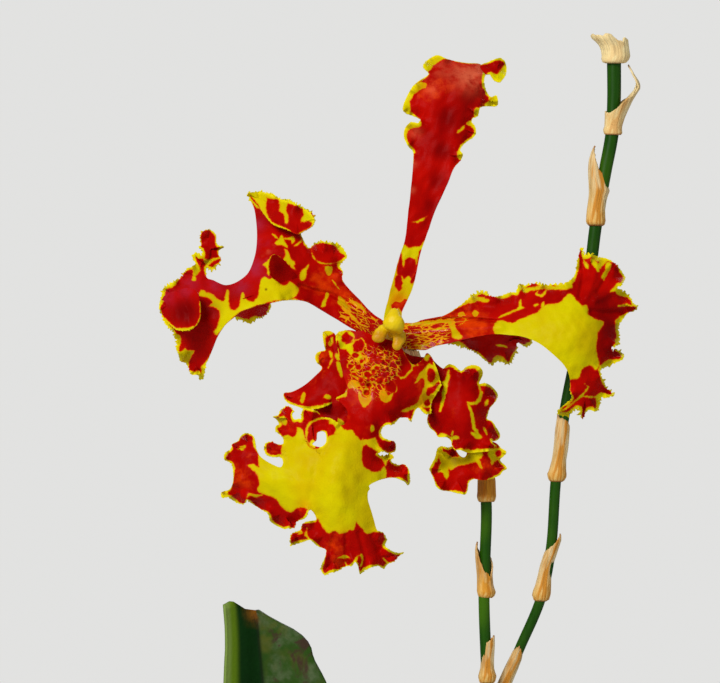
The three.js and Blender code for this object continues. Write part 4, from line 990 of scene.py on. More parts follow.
                """
                    343,429 348,430 352,430 355,434 358,437 361,440 363,438 363,446 362,452 362,460
                    364,466 369,470 374,472 380,471 384,466 386,470 386,476 383,480 378,482 374,487
                    372,494 372,502 376,515 381,531 373,532 367,534 363,530 358,524 356,522 354,530
                    349,530 346,533 340,534 335,531 330,533 326,532 321,524 315,515 309,510 300,507
                    292,512 286,511 280,505 276,499 270,496 262,494 257,491 259,484 258,477 255,472
                    250,468 247,465 254,464 259,467 258,453 268,459 276,463 280,464 281,460 281,452
                    282,444 283,437 288,435 293,437 296,434 297,427 301,428 304,433 306,440 309,446
                    314,449 320,448 326,443 329,436 336,434 340,432
                    """,
                """
                    362,440 370,439 375,438 378,444 382,449 385,452 392,453 392,458 388,460 386,466
                    384,464 382,458 378,453 372,448 366,445 362,446
                    """,
                "370,430 371,425 374,426 375,430 372,432",
                """
                    415,383 418,376 421,372 424,369 427,365 430,363 433,365 434,361 438,365 440,372
                    441,379 437,383 433,386 428,388 425,389 424,385 425,381 423,378 420,379 418,382
                    """,
                """
                    424,387 427,388 426,393 428,396 431,394 434,391 438,386 441,384 441,388 438,393
                    435,398 433,402 431,406 426,408 421,406 416,407 412,410 406,412 401,412 402,410
                    406,408 412,406 417,403 419,399 421,394 422,390
                    """,
                "424,355 428,353 431,357 429,360 426,361 424,358",
                "380,393 384,390 388,396 393,393 391,399 387,403 383,402 380,397",
                "359,390 362,396 366,398 371,396 371,400 367,406 363,407 360,402 358,396",
                "336,397 340,393 344,393 345,388 347,388 347,396 343,397 338,399",
                "348,384 352,380 358,382 360,386 355,388 349,388",
                "278,418 284,416 287,421 286,426 283,424",
                "221,492 227,492 228,496 222,498",
                "330,419 338,421 343,429 340,434 334,434 336,429 333,425 329,423",
            ],
            red=[
                "431,368 434,370 435.5,375 434.5,380 431,382.5 428,380 427,375 428,370",
                "427.5,399 430,401 430.5,404 428,406.5 425,405 424,402",
                "425,351 428,351 428,355 426,355.5",
                "429,357 432,358 434,361 432,363 430,361",
            ],
            lines=[
                ("411,357 412,364 413,366 418,365 423,364.5", 1.1),
                ("412,365 412,370 408,373 405,377 401,378 397,375 396,371", 1.6),
                ("337,558 342,557 347,557 350,558", 2.4),
                ("345,562 347,566 351,565 355,561 358,556 361,555 363,560 361,566 359,570", 1.8),
                ("383,558 388,563 384,566", 1.8),
                ("307,528 306,535 311,541", 2),
                ("296,532 300,530 302,533 298,534", 1.6),
                ("246,501 249,494 256,496 262,495", 2.2),
                ("240,447 245,446 243,449 238,449", 2),
                ("313,449 308,443 306,436 307,428 310,423 316,420 322,418 330,419 337,421", 2),
            ],
            spots="""
                347.2,338.5,5.4,1.3 358.8,346,6.5,0.8 355.5,355.5,2.9,0.9 351,366,2.7,0.8 359,367,3,0.8
                368,375,3.9,0.6 373.5,371.8,2.3,0.8 376.8,367.5,2.4,0.9 380,380.5,3.6,0.7
                369.2,385.5,2.7,1.1 366.8,392.6,3.1,1.1 391,387,5.8,0.35 362,361,2.4,0.6 354,374,2,0.7
                361,380,2.4,0.6
                """,
            mottle="""
                352,350 372,344 392,349 402,356 402,372 396,382 393,397 372,402 360,397 350,388 347,372
                346,356
                """,
            tone_light_and_shade_marks="""
                318,466,38,0.28 366,400,9,0.6 352,382,8,0.7 385,397,9,0.9 374,366,22,0.35 352,402,7,0.5
                347,415,6,0.5 345,388,6,0.7 362,425,9,0.4 372,440,10,0.3 400,400,14,-0.35 415,380,8,0.3
                240,477,11,0.9 248,452,9,0.4 232,460,7,0.3 252,490,8,0.5 352,455,11,-0.16
                356,480,12,-0.2 300,490,14,0.25 322,512,9,0.2 275,448,7,0.4 400,472,8,0.4 333,545,11,0.8
                345,535,8,0.5 340,562,8,0.6 375,548,10,-0.2 308,532,8,0.2 296,540,6,0.3 285,520,9,0.1
                304,507,9,0.5 318,440,7,0.4 292,425,9,0.4 385,445,7,0.3 365,394,9,0.5 402,362,7,-0.6
                427,376,12,0.5 424,400,10,0.5 420,400,8,0.3 360,500,14,-0.12
                """,
        ),
    ],
    "lateral_sepal_left": [
        dict(
            seed=51, teeth=(0.5, 4), margin=1.5, ruffle=1,
            edge="""
                334,333,0 323,332 324,345 325,350 318,352 315,357 317,363 322,368,0.3 315,376,0
                306,384,0 298,389,0 291,392,0.4 284,393 284,398 288,403 296,406 305,409 315,409 326,406
                334,402 343,396,0.5 350,385,0 362,372,0 378,362,0 389,352,0 389,346,0 380,346,0
                366,352,0 350,358,0 342,350,0
                """,
            pins="""
                385,350,2.4 360,362,2.2 345,358,1.6 328,336,2.5 318,356,3.4 330,372,0 310,388,1
                287,397,3 305,405,-1 325,402,-1.6
                """,
            yellow=[
                "314,357 318,352 321,352 319,356 319,361 321,366 317,364",
                "322,331 334,331 333,334 327,336 325,340 322,338",
                "328,344 331,338 333,337 333,343 330,346",
                "329,350 332,352 333,357 331,358 329,354",
                "336,352 340,356 339,361 335,357",
                "336,362 340,362 342,368 343,374 341,378 338,372 337,367",
                "300,402 301,396 304,392 305,396 303,403",
                "323,398 326,394 331,396 330,399",
            ],
            lines=[
                ("334,357 331,362 328,368", 1.8),
                ("289,402 296,406 306,408 316,408 326,405 334,401", 3),
            ],
            tone_light_and_shade_marks="324,345,8,0.9 320,358,6,0.8 312,375,12,0.6 330,375,9,0.3 300,398,8,0.3",
        ),
        dict(
            seed=52, teeth=(0.5, 4), margin=1.5, ruffle=0.6,
            edge="318,399,0 334,394,0 345,401,0.4 349,414,0.3 345,427 334,430 322,421 313,409,0.4",
            pins="325,398,-0.9 340,400,-1.2 346,424,-1.6 332,426,-1.2 318,412,-0.6",
            yellow=[
                "338,418 344,422 344,428 338,431 334,431 336,426",
            ],
            # Painted shade over this sheet, which lies behind the front one.
            tone_light_and_shade_marks="333,412,12,-0.5",
        ),
    ],
    "lateral_sepal_right": [
        dict(
            seed=61, teeth=(0.7, 4), margin=1.6,
            edge="""
                395,347,0 402,350,0 410,355,0 422,357,0 430,358,0 434,361,0 438,365,0 443,368.5,0
                445,367,0.5 449,364 455,366 461,371 466,367 473,365 480,367 483,373 481,379 479,384
                484,383 490,385 496,391 498,396 495,402 490,408 488,414 487,419 492,421 496,427 500,434
                499,439 494,441 491,440 495,445 500,448 490,451 480,452 470,453 465,452 460,450 455,450
                452,446 451,441 448,438 444,437 438,437 435,432,0.6 430,428,0.6 427,421,0.6 428,415,0.4
                430,408,0.3 431,400,0 425,388,0 412,378,0 400,366,0 395,356,0
                """,
            pins="""
                398,352,3 420,376,3 438,385,2.4 448,368,3 460,380,0.5 478,370,2 492,390,4 474,405,-1
                496,432,4 440,420,0.5 462,430,-2 440,436,2 478,449,-1 494,447,1
                """,
            yellow=[
                "443,368 447,363 452,363 458,366 462,372 459,372 456,369 451,367 447,368",
                """
                    462,372 464,367 469,364 476,363 484,368 484,375 480,381 478,379 479,373 475,369
                    468,369 464,371
                    """,
                "479,385 484,382 492,385 489,387 484,386",
                "440,382 444,381 447,376 449,371 450,376 448,384 445,388 443,385",
                "471,432 478,433 483,437 478,439 473,436",
                "485,402 488,399 488,404 485,406",
                """
                    437,437 441,433 446,434 450,436 457,436 459,439 453,440 452,444 454,449 451,449
                    449,442 443,439
                    """,
            ],
            lines=[
                ("449,370 447,380 445,390 443,400 440,411", 3.4),
                ("479,385 481,393 480,399 476,403 470,404 467,402", 3),
                ("467,403 471,410 473,418 474,428 478,434 482,436", 3),
                ("483,427 487,434", 1.6),
                ("451,437 453,431", 1.4),
                ("466,449 470,452 480,450 490,450 500,448", 3),
            ],
            tone_light_and_shade_marks="""
                416,360,9,-0.25 441,374,7,-0.3 455,415,12,0.25 455,385,12,-0.25 478,418,6,0.4
                488,395,9,-0.2 435,415,9,-0.4 490,430,8,-0.2 475,443,10,0.2 470,380,9,-0.2
                482,425,7,-0.3
                """,
        ),
        dict(
            seed=62, teeth=(0.7, 4), margin=1.6,
            edge="""
                441,446 437,450 435,458 431,466 430,470 434,479 436,485 441,490 447,491 453,492 461,494
                466,494 468,488 469,482 474,479,0.6 480,480,0.6 487,480 494,478 500,475 503,471 507,469
                505,465 500,460 505,455 506,451 501,448 496,443,0 484,440,0 470,444,0 466,456,0.4
                461,457,0.4 457,453,0.5 453,447 448,448
                """,
            pins="""
                476,445,-0.4 494,447,1.4 466,456,3.4 438,452,5 434,470,3 445,485,2 464,490,2.6
                485,468,0.5 503,468,2.4 450,462,6
                """,
            yellow=[
                "436,448 442,446 443,450 439,456 437,462 434,460",
                "438,472 439,466 442,461 447,458 449,462 448,470 449,476 446,480 444,474 441,472",
                """
                    439,452 446,452 452,457 462,456 472,452 480,450 483,455 478,461 468,464 458,466
                    451,470 446,465 440,462
                    """,
                "474,456 479,458 483,468 480,468 476,462",
                "488,454 490,450 497,448 505,449 507,455 502,460 497,460 492,465 490,459",
            ],
            red=[
                "495,452 500,450 501,455 497,457",
            ],
            tone_light_and_shade_marks="""
                484,466,9,0.7 472,470,7,0.5 458,460,9,-0.7 444,464,6,-0.5 470,458,7,-0.4 455,478,9,0.2
                440,455,5,-0.4 450,454,5,-0.3 495,470,8,0.3
                """,
        ),
    ],
}


# The warty crest on the lip: a low dome, rows of warts over it and two pits before it

WARTS = dict(left=347, top=345, across=6.4, down=6.0, columns=9, rows=7)  # in squares
CREST = dict(x=374, y=362, squash=1.15, reach=26)
crest = [(376, 364, 21, 2.2), (368.5, 385.5, 2.6, -1.3), (366.5, 393, 2.6, -1.2)]
for row in range(WARTS["rows"]):
    for k in range(WARTS["columns"]):
        x = WARTS["left"] + WARTS["across"] * (k + row % 2 / 2) + rng.uniform(-1.3, 1.3)
        y = WARTS["top"] + WARTS["down"] * row + rng.uniform(-1.2, 1.2)
        if math.hypot(x - CREST["x"], (y - CREST["y"]) * CREST["squash"]) < CREST["reach"]:
            crest.append((x, y, rng.uniform(1.7, 2.6), rng.uniform(0.3, 0.75)))
SHEETS["lip"][0]["bumps"] = crest


# The bloom

for organ, sheets in SHEETS.items():
    parts = [petal_sheet(f"{organ}_{i}", **sheet) for i, sheet in enumerate(sheets)]
    slot, faces = ("lip", (LIP, LIP_BACK)) if organ == "lip" else ("petal", (PETAL, PETAL_BACK))
    settle(joined(organ, parts), organ, slot, *faces)


# Tubes and paths

def path_through(points):
    """A smooth path through points: the place at a share of its length, and that length."""
    p = np.array(points, float)
    ends = np.vstack([2 * p[0] - p[1], p, 2 * p[-1] - p[-2]])
    stretches = []
    for a, b, c, d in zip(ends, ends[1:], ends[2:], ends[3:]):
        k0, k1, k2 = (np.linalg.norm(v) ** 0.5 for v in (b - a, c - b, d - c))
        leave = ((b - a) / k0 - (c - a) / (k0 + k1) + (c - b) / k1) * k1
        arrive = ((c - b) / k1 - (d - b) / (k1 + k2) + (d - c) / k2) * k1
        t = np.linspace(0, 1, 48, endpoint=False)[:, None]
        square = 3 * (c - b) - 2 * leave - arrive
        cube = 2 * (b - c) + leave + arrive
        stretches.append(b + leave * t + square * t**2 + cube * t**3)
    line = np.vstack([*stretches, p[-1:]])
    run = np.concatenate([[0], np.cumsum(np.linalg.norm(np.diff(line, axis=0), axis=1))])

    def place(t):
        return np.stack([np.interp(t * run[-1], run, line[:, k]) for k in range(3)], -1)

    return place, run[-1]


def unit(v):
    return v / np.linalg.norm(v, axis=-1, keepdims=True)


def frame_on(path, t, sideways=(1, 0, 0)):
    """Place, direction, side and front of a path at shares of its length."""
    step = 0.004
    way = unit(path(np.minimum(t + step, 1)) - path(np.maximum(t - step, 0)))
    side = unit(np.array(sideways) - way * (way @ np.array(sideways))[:, None])
    return path(t), way, side, np.cross(side, way)


def rolled(name, shape, around, levels, closed=True):
    """A piece rolled from a plane: shape gives places, in metres, for shares round and up from 0 to 1."""
    bpy.ops.object.select_all(action="DESELECT")
    bpy.ops.mesh.primitive_grid_add(x_subdivisions=around, y_subdivisions=levels, size=1, location=(0, 0, 0))
    piece = named(name)
    co = points_of(piece)
    place_points(piece, shape(co[:, 0] + 0.5, co[:, 1] + 0.5))
    turn = 2 * math.pi * (co[:, 0] + 0.5)
    for key, values in (("turn_x", np.cos(turn)), ("turn_y", np.sin(turn)), ("up", co[:, 1] + 0.5)):
        keep_value(piece, key, values)
    bpy.ops.object.mode_set(mode="EDIT")
    bpy.ops.mesh.select_all(action="SELECT")
    if closed:
        bpy.ops.mesh.remove_doubles(threshold=1e-6)
    bpy.ops.mesh.normals_make_consistent(inside=False)
    bpy.ops.object.mode_set(mode="OBJECT")
    return piece


def stalk(name, points, radius, around=24, step=1.2, bumps=0.0, seed=0):
    """A round stalk along a path in millimetres, with closed ends. radius takes the share of the length."""
    path, length = path_through(points)
    levels = int(length / step) + 4

    def shape(turn, t):
        t = np.clip(t * (1 + 2 / levels) - 1 / levels, 0, 1)
        end = np.where((t <= 0) | (t >= 1), 0.0, 1.0)
        ends = np.minimum(1, np.sqrt(np.minimum(t, 1 - t) * length + 0.02))
        place, _, side, front = frame_on(path, t)
        a = 2 * math.pi * turn
        skin = np.column_stack([np.cos(a) * 3, np.sin(a) * 3 + t * length])
        r = radius(t) * end * ends * (1 + bumps * waves(skin, (5, 9), seed))
        return (place + side * (r * np.cos(a))[:, None] + front * (r * np.sin(a))[:, None]) * MM

    return rolled(name, shape, around, levels)


def paper_mm(x, y, depth):
    return on_paper(np.float64(x), np.float64(y), np.float64(depth)) / MM


def on_squares(text):
    """Points in millimetres from "x,y,depth ..." on the paper."""
    return [paper_mm(*row) for row in drawn(text)]


# The column and the ovary

COLUMN_MATERIAL, tree, surface = material("column yellow")
place = here(tree)
tones = dict(body=(0.66, 0.38, 0.001), ochre=(0.55, 0.24, 0.001), cap=(0.74, 0.52, 0.001))
shade = mix(tree, blotches(tree, place, 330, 0.35, 0.7), tones["body"], tones["ochre"])
CAP = (0.3952, 0.3968)  # metres up, from where to where the yellow pales towards the anther cap
height = put(tree, "SeparateXYZ", {0: place}).outputs["Z"]
shade = where(tree, height, *CAP, shade, tones["cap"])
dress(tree, surface, shade, noise(tree, place, 1500, 2), deep=0.1, roughness=0.42)
surface.inputs["Specular IOR Level"].default_value = 0.2

COLUMN_LOBES = [  # square across and down, then depth and half sizes in millimetres
    (394.3, 314, -8.6, (1.25, 1.2, 1.3)),
    (394.5, 322.5, -9.9, (2.0, 1.3, 2.0)),
    (394, 318, -9.0, (1.7, 1.5, 1.7)),
    (391, 323, -9.2, (1.8, 1.6, 1.7)),
    (397, 324.5, -9.2, (1.7, 1.6, 1.8)),
    (398.5, 329, -8.9, (1.1, 1.1, 1.1)),
    (393.5, 326, -6.6, (1.6, 2.8, 1.6)),
    (393.5, 330, -3.4, (1.9, 2.4, 1.9)),
    (386.5, 327.5, -5.6, (1.3, 1.2, 0.9)),
    (383, 330, -6.3, (1.25, 1.1, 1.2)),
    (380.5, 333.5, -6.8, (1.45, 1.05, 1.35)),
    (378.5, 337.5, -7.2, (1.5, 0.95, 1.15)),
    (397, 331, -6.0, (1.1, 1.1, 1.2)),
    (399.5, 335.5, -6.5, (1.45, 1.0, 1.25)),
    (399, 340, -6.9, (1.4, 0.95, 1.3)),
    (397, 345.5, -7.2, (1.1, 0.85, 1.1)),
    (402.5, 338, -6.5, (0.8, 0.8, 1.0)),
]
COLUMN_CELL = 0.13
bpy.ops.object.select_all(action="DESELECT")
lobes = []
for x, y, depth, size in COLUMN_LOBES:
    bpy.ops.mesh.primitive_uv_sphere_add(segments=24, ring_count=16, location=(0, 0, 0))
    lobe = named("lobe")
    place_points(lobe, points_of(lobe) * np.array(size) * MM + on_paper(*np.float64((x, y, depth))))
    lobes.append(lobe)
column = joined("column", lobes)
modify(column, "REMESH", mode="VOXEL", voxel_size=COLUMN_CELL * MM)
modify(column, "SMOOTH", factor=0.6, iterations=12)
co = points_of(column)
co += 0.05 * MM * waves(co[:, [0, 2]] / MM, (0.9, 2), 5)[:, None] * np.array((0.3, -1, 0.3))
place_points(column, co)
alone(column)
bpy.ops.object.shade_smooth()
settle(column, "column", "column", COLUMN_MATERIAL)

# The ovary is coloured ochre-brown instead of its own green, as painted shade where it shows between the
# column's arms.
OVARY_MATERIAL, tree, surface = material("ovary ochre with painted shade")
place = here(tree)
tones = dict(green=(0.24, 0.16, 0.006), ochre=(0.34, 0.12, 0.006))
shade = mix(tree, noise(tree, place, 400, 3, 0.6), tones["green"], tones["ochre"])
dress(tree, surface, shade, noise(tree, place, 1400, 2), deep=0.1, roughness=0.5)
ovary_line = on_squares("393,333,-0.9 394,334,2 398,338,6 406,345,9.4 414,353,11.2")
ovary = stalk("ovary", ovary_line, lambda t: 2.2 - t, bumps=0.05, seed=3, step=0.5)
settle(ovary, "ovary", "ovary", OVARY_MATERIAL)


# Stems

STEM_MATERIAL, tree, surface = material("stem green")
place = here(tree)
long = stretched(tree, place, (1, 1, 0.12))
tones = dict(dark=(0.003, 0.032, 0.0006), light=(0.018, 0.088, 0.001), fresh=(0.055, 0.15, 0.002))
shade = mix(tree, noise(tree, long, 900, 3, 0.6), tones["dark"], tones["light"])
shade = mix(tree, blotches(tree, place, 60, 0.45, 0.8, detail=2, rough=0.5), shade, tones["fresh"])
dress(tree, surface, shade, noise(tree, long, 1600, 2), deep=0.08, roughness=0.42)
surface.inputs["Specular IOR Level"].default_value = 0.12

FORK = "488,752,12"
PEDUNCLE = [(18, 6, 74), (18, 5.5, 110), (14, 4, 170), (10.5, 3.4, 240), *on_squares(FORK)]
FLOWERING = on_squares(
    "488,760,12 489,718,12 487,678,12 484,598,11.6 485,560,12 486,499,12 479,452,12.6 463,418,13 "
    "445,390,13 430,370,12.5 419,358,12"
)
SPENT = on_squares(
    "488,760,12 493,722,14.2 504,686,16.2 519,650,15.8 541,598,14.6 551,548,14 556,479,14 565,410,14 "
    "578,345,14 589,280,14 596,224,14 605,172,14 612,134,14 614,100,14 614,62,14 614,52,14"
)
stems = [
    stalk("peduncle", PEDUNCLE, lambda t: 1.75 - 0.35 * t),
    stalk("flowering", FLOWERING, lambda t: 1.25 + 0 * t),
    stalk("spent", SPENT, lambda t: 1.12 + 0.5 * t * t),
    stalk("fork", [PEDUNCLE[-1] - (0, 0, 3.4), PEDUNCLE[-1], PEDUNCLE[-1] + (0, 0, 2.6)],
          lambda t: 1.4 + 0.75 * np.sin(math.pi * t) ** 2, step=0.3),
]
settle(joined("flower_stem", stems), "flower_stem", "stem", STEM_MATERIAL)


# Papery bracts. Rows give the outline from the front: square down, left, right. The rim gives the square
# down of the upper edge at each turn in degrees, 0 to the right and 90 to the front.

PAPER_MATERIAL, tree, surface = material("papery bract tan")
place = here(tree)
long = stretched(tree, place, (1, 1, 0.14))
tones = dict(
    tan=(0.60, 0.36, 0.11), straw=(0.84, 0.62, 0.31), rust=(0.46, 0.17, 0.012), foot=(0.76, 0.45, 0.11),
    ochre=(0.60, 0.24, 0.020), pale=(0.84, 0.66, 0.36), cream=(0.98, 0.82, 0.42), amber=(0.50, 0.16, 0.003),
    honey=(0.74, 0.34, 0.016), brown=(0.30, 0.085, 0.008), fibre=(0.12, 0.05, 0.015),
)
shade = mix(tree, blotches(tree, long, 620, 0.3, 0.7), tones["tan"], tones["straw"])
rust = blotches(tree, stretched(tree, place, (1, 1, 0.4)), 260, 0.55, 0.72, amount=0.6)
shade = mix(tree, rust, shade, tones["rust"])
shade = mix(tree, value_of(tree, "foot"), shade, tones["foot"])
fields = [value_of(tree, key) for key in ("turn_x", "turn_y", "up")]
lengthwise = put(tree, "CombineXYZ", dict(enumerate(fields))).outputs[0]
slow = stretched(tree, lengthwise, (1.3, 1.3, 1.6))
shade = mix(tree, blotches(tree, slow, 1, 0.5, 0.62, detail=2), shade, tones["ochre"])
shade = mix(tree, blotches(tree, slow, 1, 0.46, 0.34, detail=2), shade, tones["pale"])
shade = mix(tree, value_of(tree, "cream"), shade, tones["cream"])
stain = mix(tree, blotches(tree, long, 500, 0.35, 0.7), tones["amber"], tones["honey"])
shade = mix(tree, value_of(tree, "stain"), shade, stain)
shade = mix(tree, value_of(tree, "brown"), shade, tones["brown"])
lengthwise = stretched(tree, lengthwise, (5, 5, 0.6))
fibre = calc(tree, "MULTIPLY", blotches(tree, lengthwise, 1, 0.5, 0.62, rough=0.7), value_of(tree, "fibre"))
shade = mix(tree, fibre, shade, tones["fibre"])
streak = noise(tree, lengthwise, 1.7, 3, 0.65)
dress(tree, surface, shade, streak, deep=0.2, strength=0.7, roughness=0.62)
surface.inputs["Specular IOR Level"].default_value = 0.25

FLORAL_BRACT = dict(
    stem=[paper_mm(430, 376, 12.2), paper_mm(419, 358, 11), paper_mm(404, 343, 9)],
    rows="372,417,430 368,412,426 362,408,421 356,405,419 350,404,417 344,402,414",
    rim="0,352 90,350 180,346 270,350",
    cream=1.0,
    fibre=0.55,
)
BRACTS = {
    "flowering_low": dict(
        stem=FLOWERING,
        rows="683,480,494 681,479,495.5 676,478.5,496.5 672,479.5,495 668,480.5,494 660,481,494 650,482,494.5 "
             "644,482.8,494.7 634,483,494.5",
        rim="0,635 45,638 90,642 180,646 270,642 315,638",
    ),
    "flowering_mid": dict(
        stem=FLOWERING,
        rows="598,480,492 596,478,494.5 592,477,495.5 588,477,494 584,477,493 575,476.8,492.3 566,476,493 "
             "558,475.4,492 550,475.2,492 541,476.5,492",
        rim="0,566 10,570 30,579 60,575 97,570 120,561 150,549 180,541 220,549 270,560 300,560 330,557 350,559",
        stain=0.45,
    ),
    "flowering_high": dict(
        stem=FLOWERING,
        rows="502,479,494 500,477.6,495.5 496,477,496 492,477.6,495.8 480,478,495.5 465,474,492 450,470,488",
        rim="0,462 60,452 120,466 180,474 270,470",
        stain=0.9,
    ),
    "spent_foot": dict(
        stem=SPENT,
        rows="703,490,503 700,488.5,506 695,489,509 690,492,510 683,497.6,512 670,503.5,517.6 660,508.5,521.5 "
             "655,511,522.6 650,513.5,524 646,515,526",
        rim="0,657 60,650 100,646 140,648 180,651 270,652",
    ),
    "spent_low": dict(
        stem=SPENT,
        rows="601.5,536,546 600,533.5,549 595,532.2,550.6 590,533.5,550.8 585,535.5,551 575,538,551.3 "
             "565,540.3,553 555,543.5,556.5 550,545.5,558 540,549,561.3 534,551,561",
        rim="0,534 40,537 90,545 140,550 180,552 270,546 320,538",
    ),
    "spent_mid": dict(
        stem=SPENT,
        rows="482,551,562 480.5,549,564.5 477,547.5,566.4 474,547.3,566.5 470,549.3,566 460,552,566.2 "
             "450,553.5,568 440,554.5,569 430,555.2,569.6 416,557.3,570",
        rim="0,428 45,422 90,419 180,415 270,424",
    ),
    "spent_hidden": dict(
        stem=SPENT,
        rows="348,574,583 346,571,587 341,569.5,588 336,571,588 325,574,588.5 305,578,592 285,581.5,595",
        rim="0,288 60,296 90,304 180,312 270,304 330,292",
    ),
    "spent_high": dict(
        stem=SPENT,
        rows="226,589,603 224.5,587,605 221,585.8,605.5 217,586.3,605.2 210,587,605 200,588.5,606.5 "
             "195,589,608 191,589.2,609.5 185,589,608 175,588.4,605 168,588.4,604 160,589,603 150,592,603 "
             "146,594.5,603",
        rim="0,188 29,176 71,168 95,158 130,150 180,146 220,152 260,162 300,172 330,181",
    ),
    "spent_top": dict(
        stem=SPENT,
        rows="135,606,621 134,604,622.5 130,603.2,622 126,604.5,622 118,605,624.5 112,605,627 100,606,632.5 "
             "88,607,640 82,609,639 75,612,634.5 65,616,629",
        rim="0,65 14,74 30,93 60,101 90,107 120,113 180,112 220,110 270,104 310,95 345,76",
        cream=0.25,
    ),
    "spent_tip": dict(
        stem=SPENT,
        rows="62,606,623 61.5,603.5,625.5 59,602.9,627.5 56,603.2,628.6 50,602.6,628 45,600.8,627.4 "
             "41,597.5,627 38,594,626.5 35,592.3,626",
        rim="0,45 15,40 33,37 50,42.5 68,39 84,35 98,33 112,35.5 140,34.5 180,35 215,36 260,39 310,41 335,44",
        cream=0.6,
    ),
    "peduncle_high": dict(
        stem=PEDUNCLE,
        rows="1080,479,495 1077,476.5,497.5 1071,476,498 1065,478,496.5 1040,479,496.5 1005,480,499",
        rim="0,1006 90,1034 180,1044 270,1034",
    ),
    "peduncle_low": dict(
        stem=PEDUNCLE,
        rows="1408,494,512 1405,491.5,514.5 1398,491,515 1390,493,513.5 1360,493,513 1326,490,512",
        rim="180,1328 270,1356 0,1366 90,1356",
    ),
}


PAPER = dict(thick=0.32, around=60, levels=26, ragged=0.9, wrinkle=0.035, crinkle=0.03)


def bract(name, stem, rows, rim, stain=0.0, fibre=0.3, cream=0.0):
    """A papery sheath round a stem, wrinkled along its length, with a ragged rim."""
    table = drawn(rows)
    path, _ = path_through(stem)
    run = path(np.linspace(0, 1, 800))
    turns = drawn(rim)[:, :2]
    turns = turns[np.argsort(turns[:, 0])]
    seed = int(table[0, 0])

    def shape(turn, up):
        a = 360 * turn
        top = np.interp(a, turns[:, 0], turns[:, 1], period=360)
        top = top + PAPER["ragged"] * waves(np.column_stack([a / 9, a * 0]), (1.5, 3.2), seed)
        y = table[0, 0] + (top - table[0, 0]) * up**1.1
        left, right = (np.interp(-y, -table[:, 0], table[:, k]) for k in (1, 2))
        z = BLOOM[2] - (y - FOOT[1]) * SQUARE
        depth = np.interp(z, run[:, 2], run[:, 1]) - BLOOM[1]
        rad = np.radians(a)
        wrinkle = 1 + PAPER["wrinkle"] * up * np.sin(9 * rad + seed)
        wrinkle = wrinkle + PAPER["crinkle"] * np.sin(23 * rad + 2 * up + seed)
        wide = (right - left) / 2 * np.where(up > 0.12, wrinkle, 1)
        x = (left + right) / 2 + wide * np.cos(rad)
        return on_paper(x, y, depth - wide * np.sin(rad) * SQUARE)

    piece = rolled(name, shape, PAPER["around"], PAPER["levels"])
    co = points_of(piece)
    low, high = co[:, 2].min(), co[:, 2].max()
    up = (co[:, 2] - low) / (high - low)
    keep_value(piece, "foot", ease(1 - up / 0.6) * 0.9 * (1 - cream))
    keep_value(piece, "cream", np.full(len(up), cream))
    keep_value(piece, "stain", stain * ease((up - 0.06) / 0.1))
    keep_value(piece, "fibre", fibre * ease((up - 0.1) / 0.3))
    keep_value(piece, "brown", (ease(1 - up / 0.035) + 0.8 * ease((up - 0.93) / 0.07)) * (1 - cream))
    modify(piece, "SOLIDIFY", thickness=PAPER["thick"] * MM, offset=-1)
    alone(piece)
    bpy.ops.object.shade_smooth()
    return piece


settle(bract("bract_floral", **FLORAL_BRACT), None, "paper_bract", PAPER_MATERIAL)
for name, how in BRACTS.items():
    settle(bract(f"bract_{name}", **how), f"bract_{name}", "paper_bract", PAPER_MATERIAL)


# Bulbs

BULB_MATERIAL, tree, surface = material("bulb green")
place = here(tree)
long = stretched(tree, place, (1, 1, 0.1))
tones = dict(
    dark=(0.030, 0.085, 0.006), light=(0.115, 0.185, 0.016), olive=(0.13, 0.085, 0.022),
    speck=(0.045, 0.020, 0.012), neck=(0.26, 0.19, 0.08), foot=(0.20, 0.15, 0.05),
)
shade = mix(tree, noise(tree, long, 260, 3, 0.6), tones["dark"], tones["light"])
shade = mix(tree, blotches(tree, place, 75, 0.5, 0.72, detail=4, rough=0.65), shade, tones["olive"])
shade = mix(tree, blotches(tree, place, 420, 0.6, 0.7, rough=0.7, amount=0.6), shade, tones["speck"])
shade = where(tree, value_of(tree, "up"), 0.86, 1.0, shade, tones["neck"])
shade = where(tree, value_of(tree, "up"), 0.22, 0.05, shade, tones["foot"])
dress(tree, surface, shade, noise(tree, long, 700, 4, 0.65), deep=0.5, strength=0.8, roughness=0.5)
surface.inputs["Specular IOR Level"].default_value = 0.3

BULB_FOOT = 89
BULB_FLAT = 0.5  # depth for its width
BULB = dict(start=0.12, neck=0.16, fullness=0.75, furrow=0.10, line=0.035, around=120, levels=60)
BULBS = {
    "a": dict(x=-31, y=5, turn=20, height=44, width=15, lean=(-2, 1)),
    "b": dict(x=-7, y=-12, turn=-15, height=38, width=14, lean=(-1, -3)),
    "c": dict(x=-1, y=23, turn=50, height=40, width=14, lean=(0, 4)),
    "d": dict(x=34, y=8, turn=-30, height=36, width=13, lean=(4, 1)),
    "e": dict(x=22, y=-24, turn=10, height=30, width=12, lean=(2, -3)),
}


def about(x, y, lean, turn, share, u, v, rise):
    """Places round a bulb's leaning axis, in metres, u along its wide side and v along its flat one."""
    spin = math.radians(turn)
    return np.column_stack([
        x + lean[0] * share + u * math.cos(spin) - v * math.sin(spin),
        y + lean[1] * share + u * math.sin(spin) + v * math.cos(spin),
        BULB_FOOT + rise,
    ]) * MM


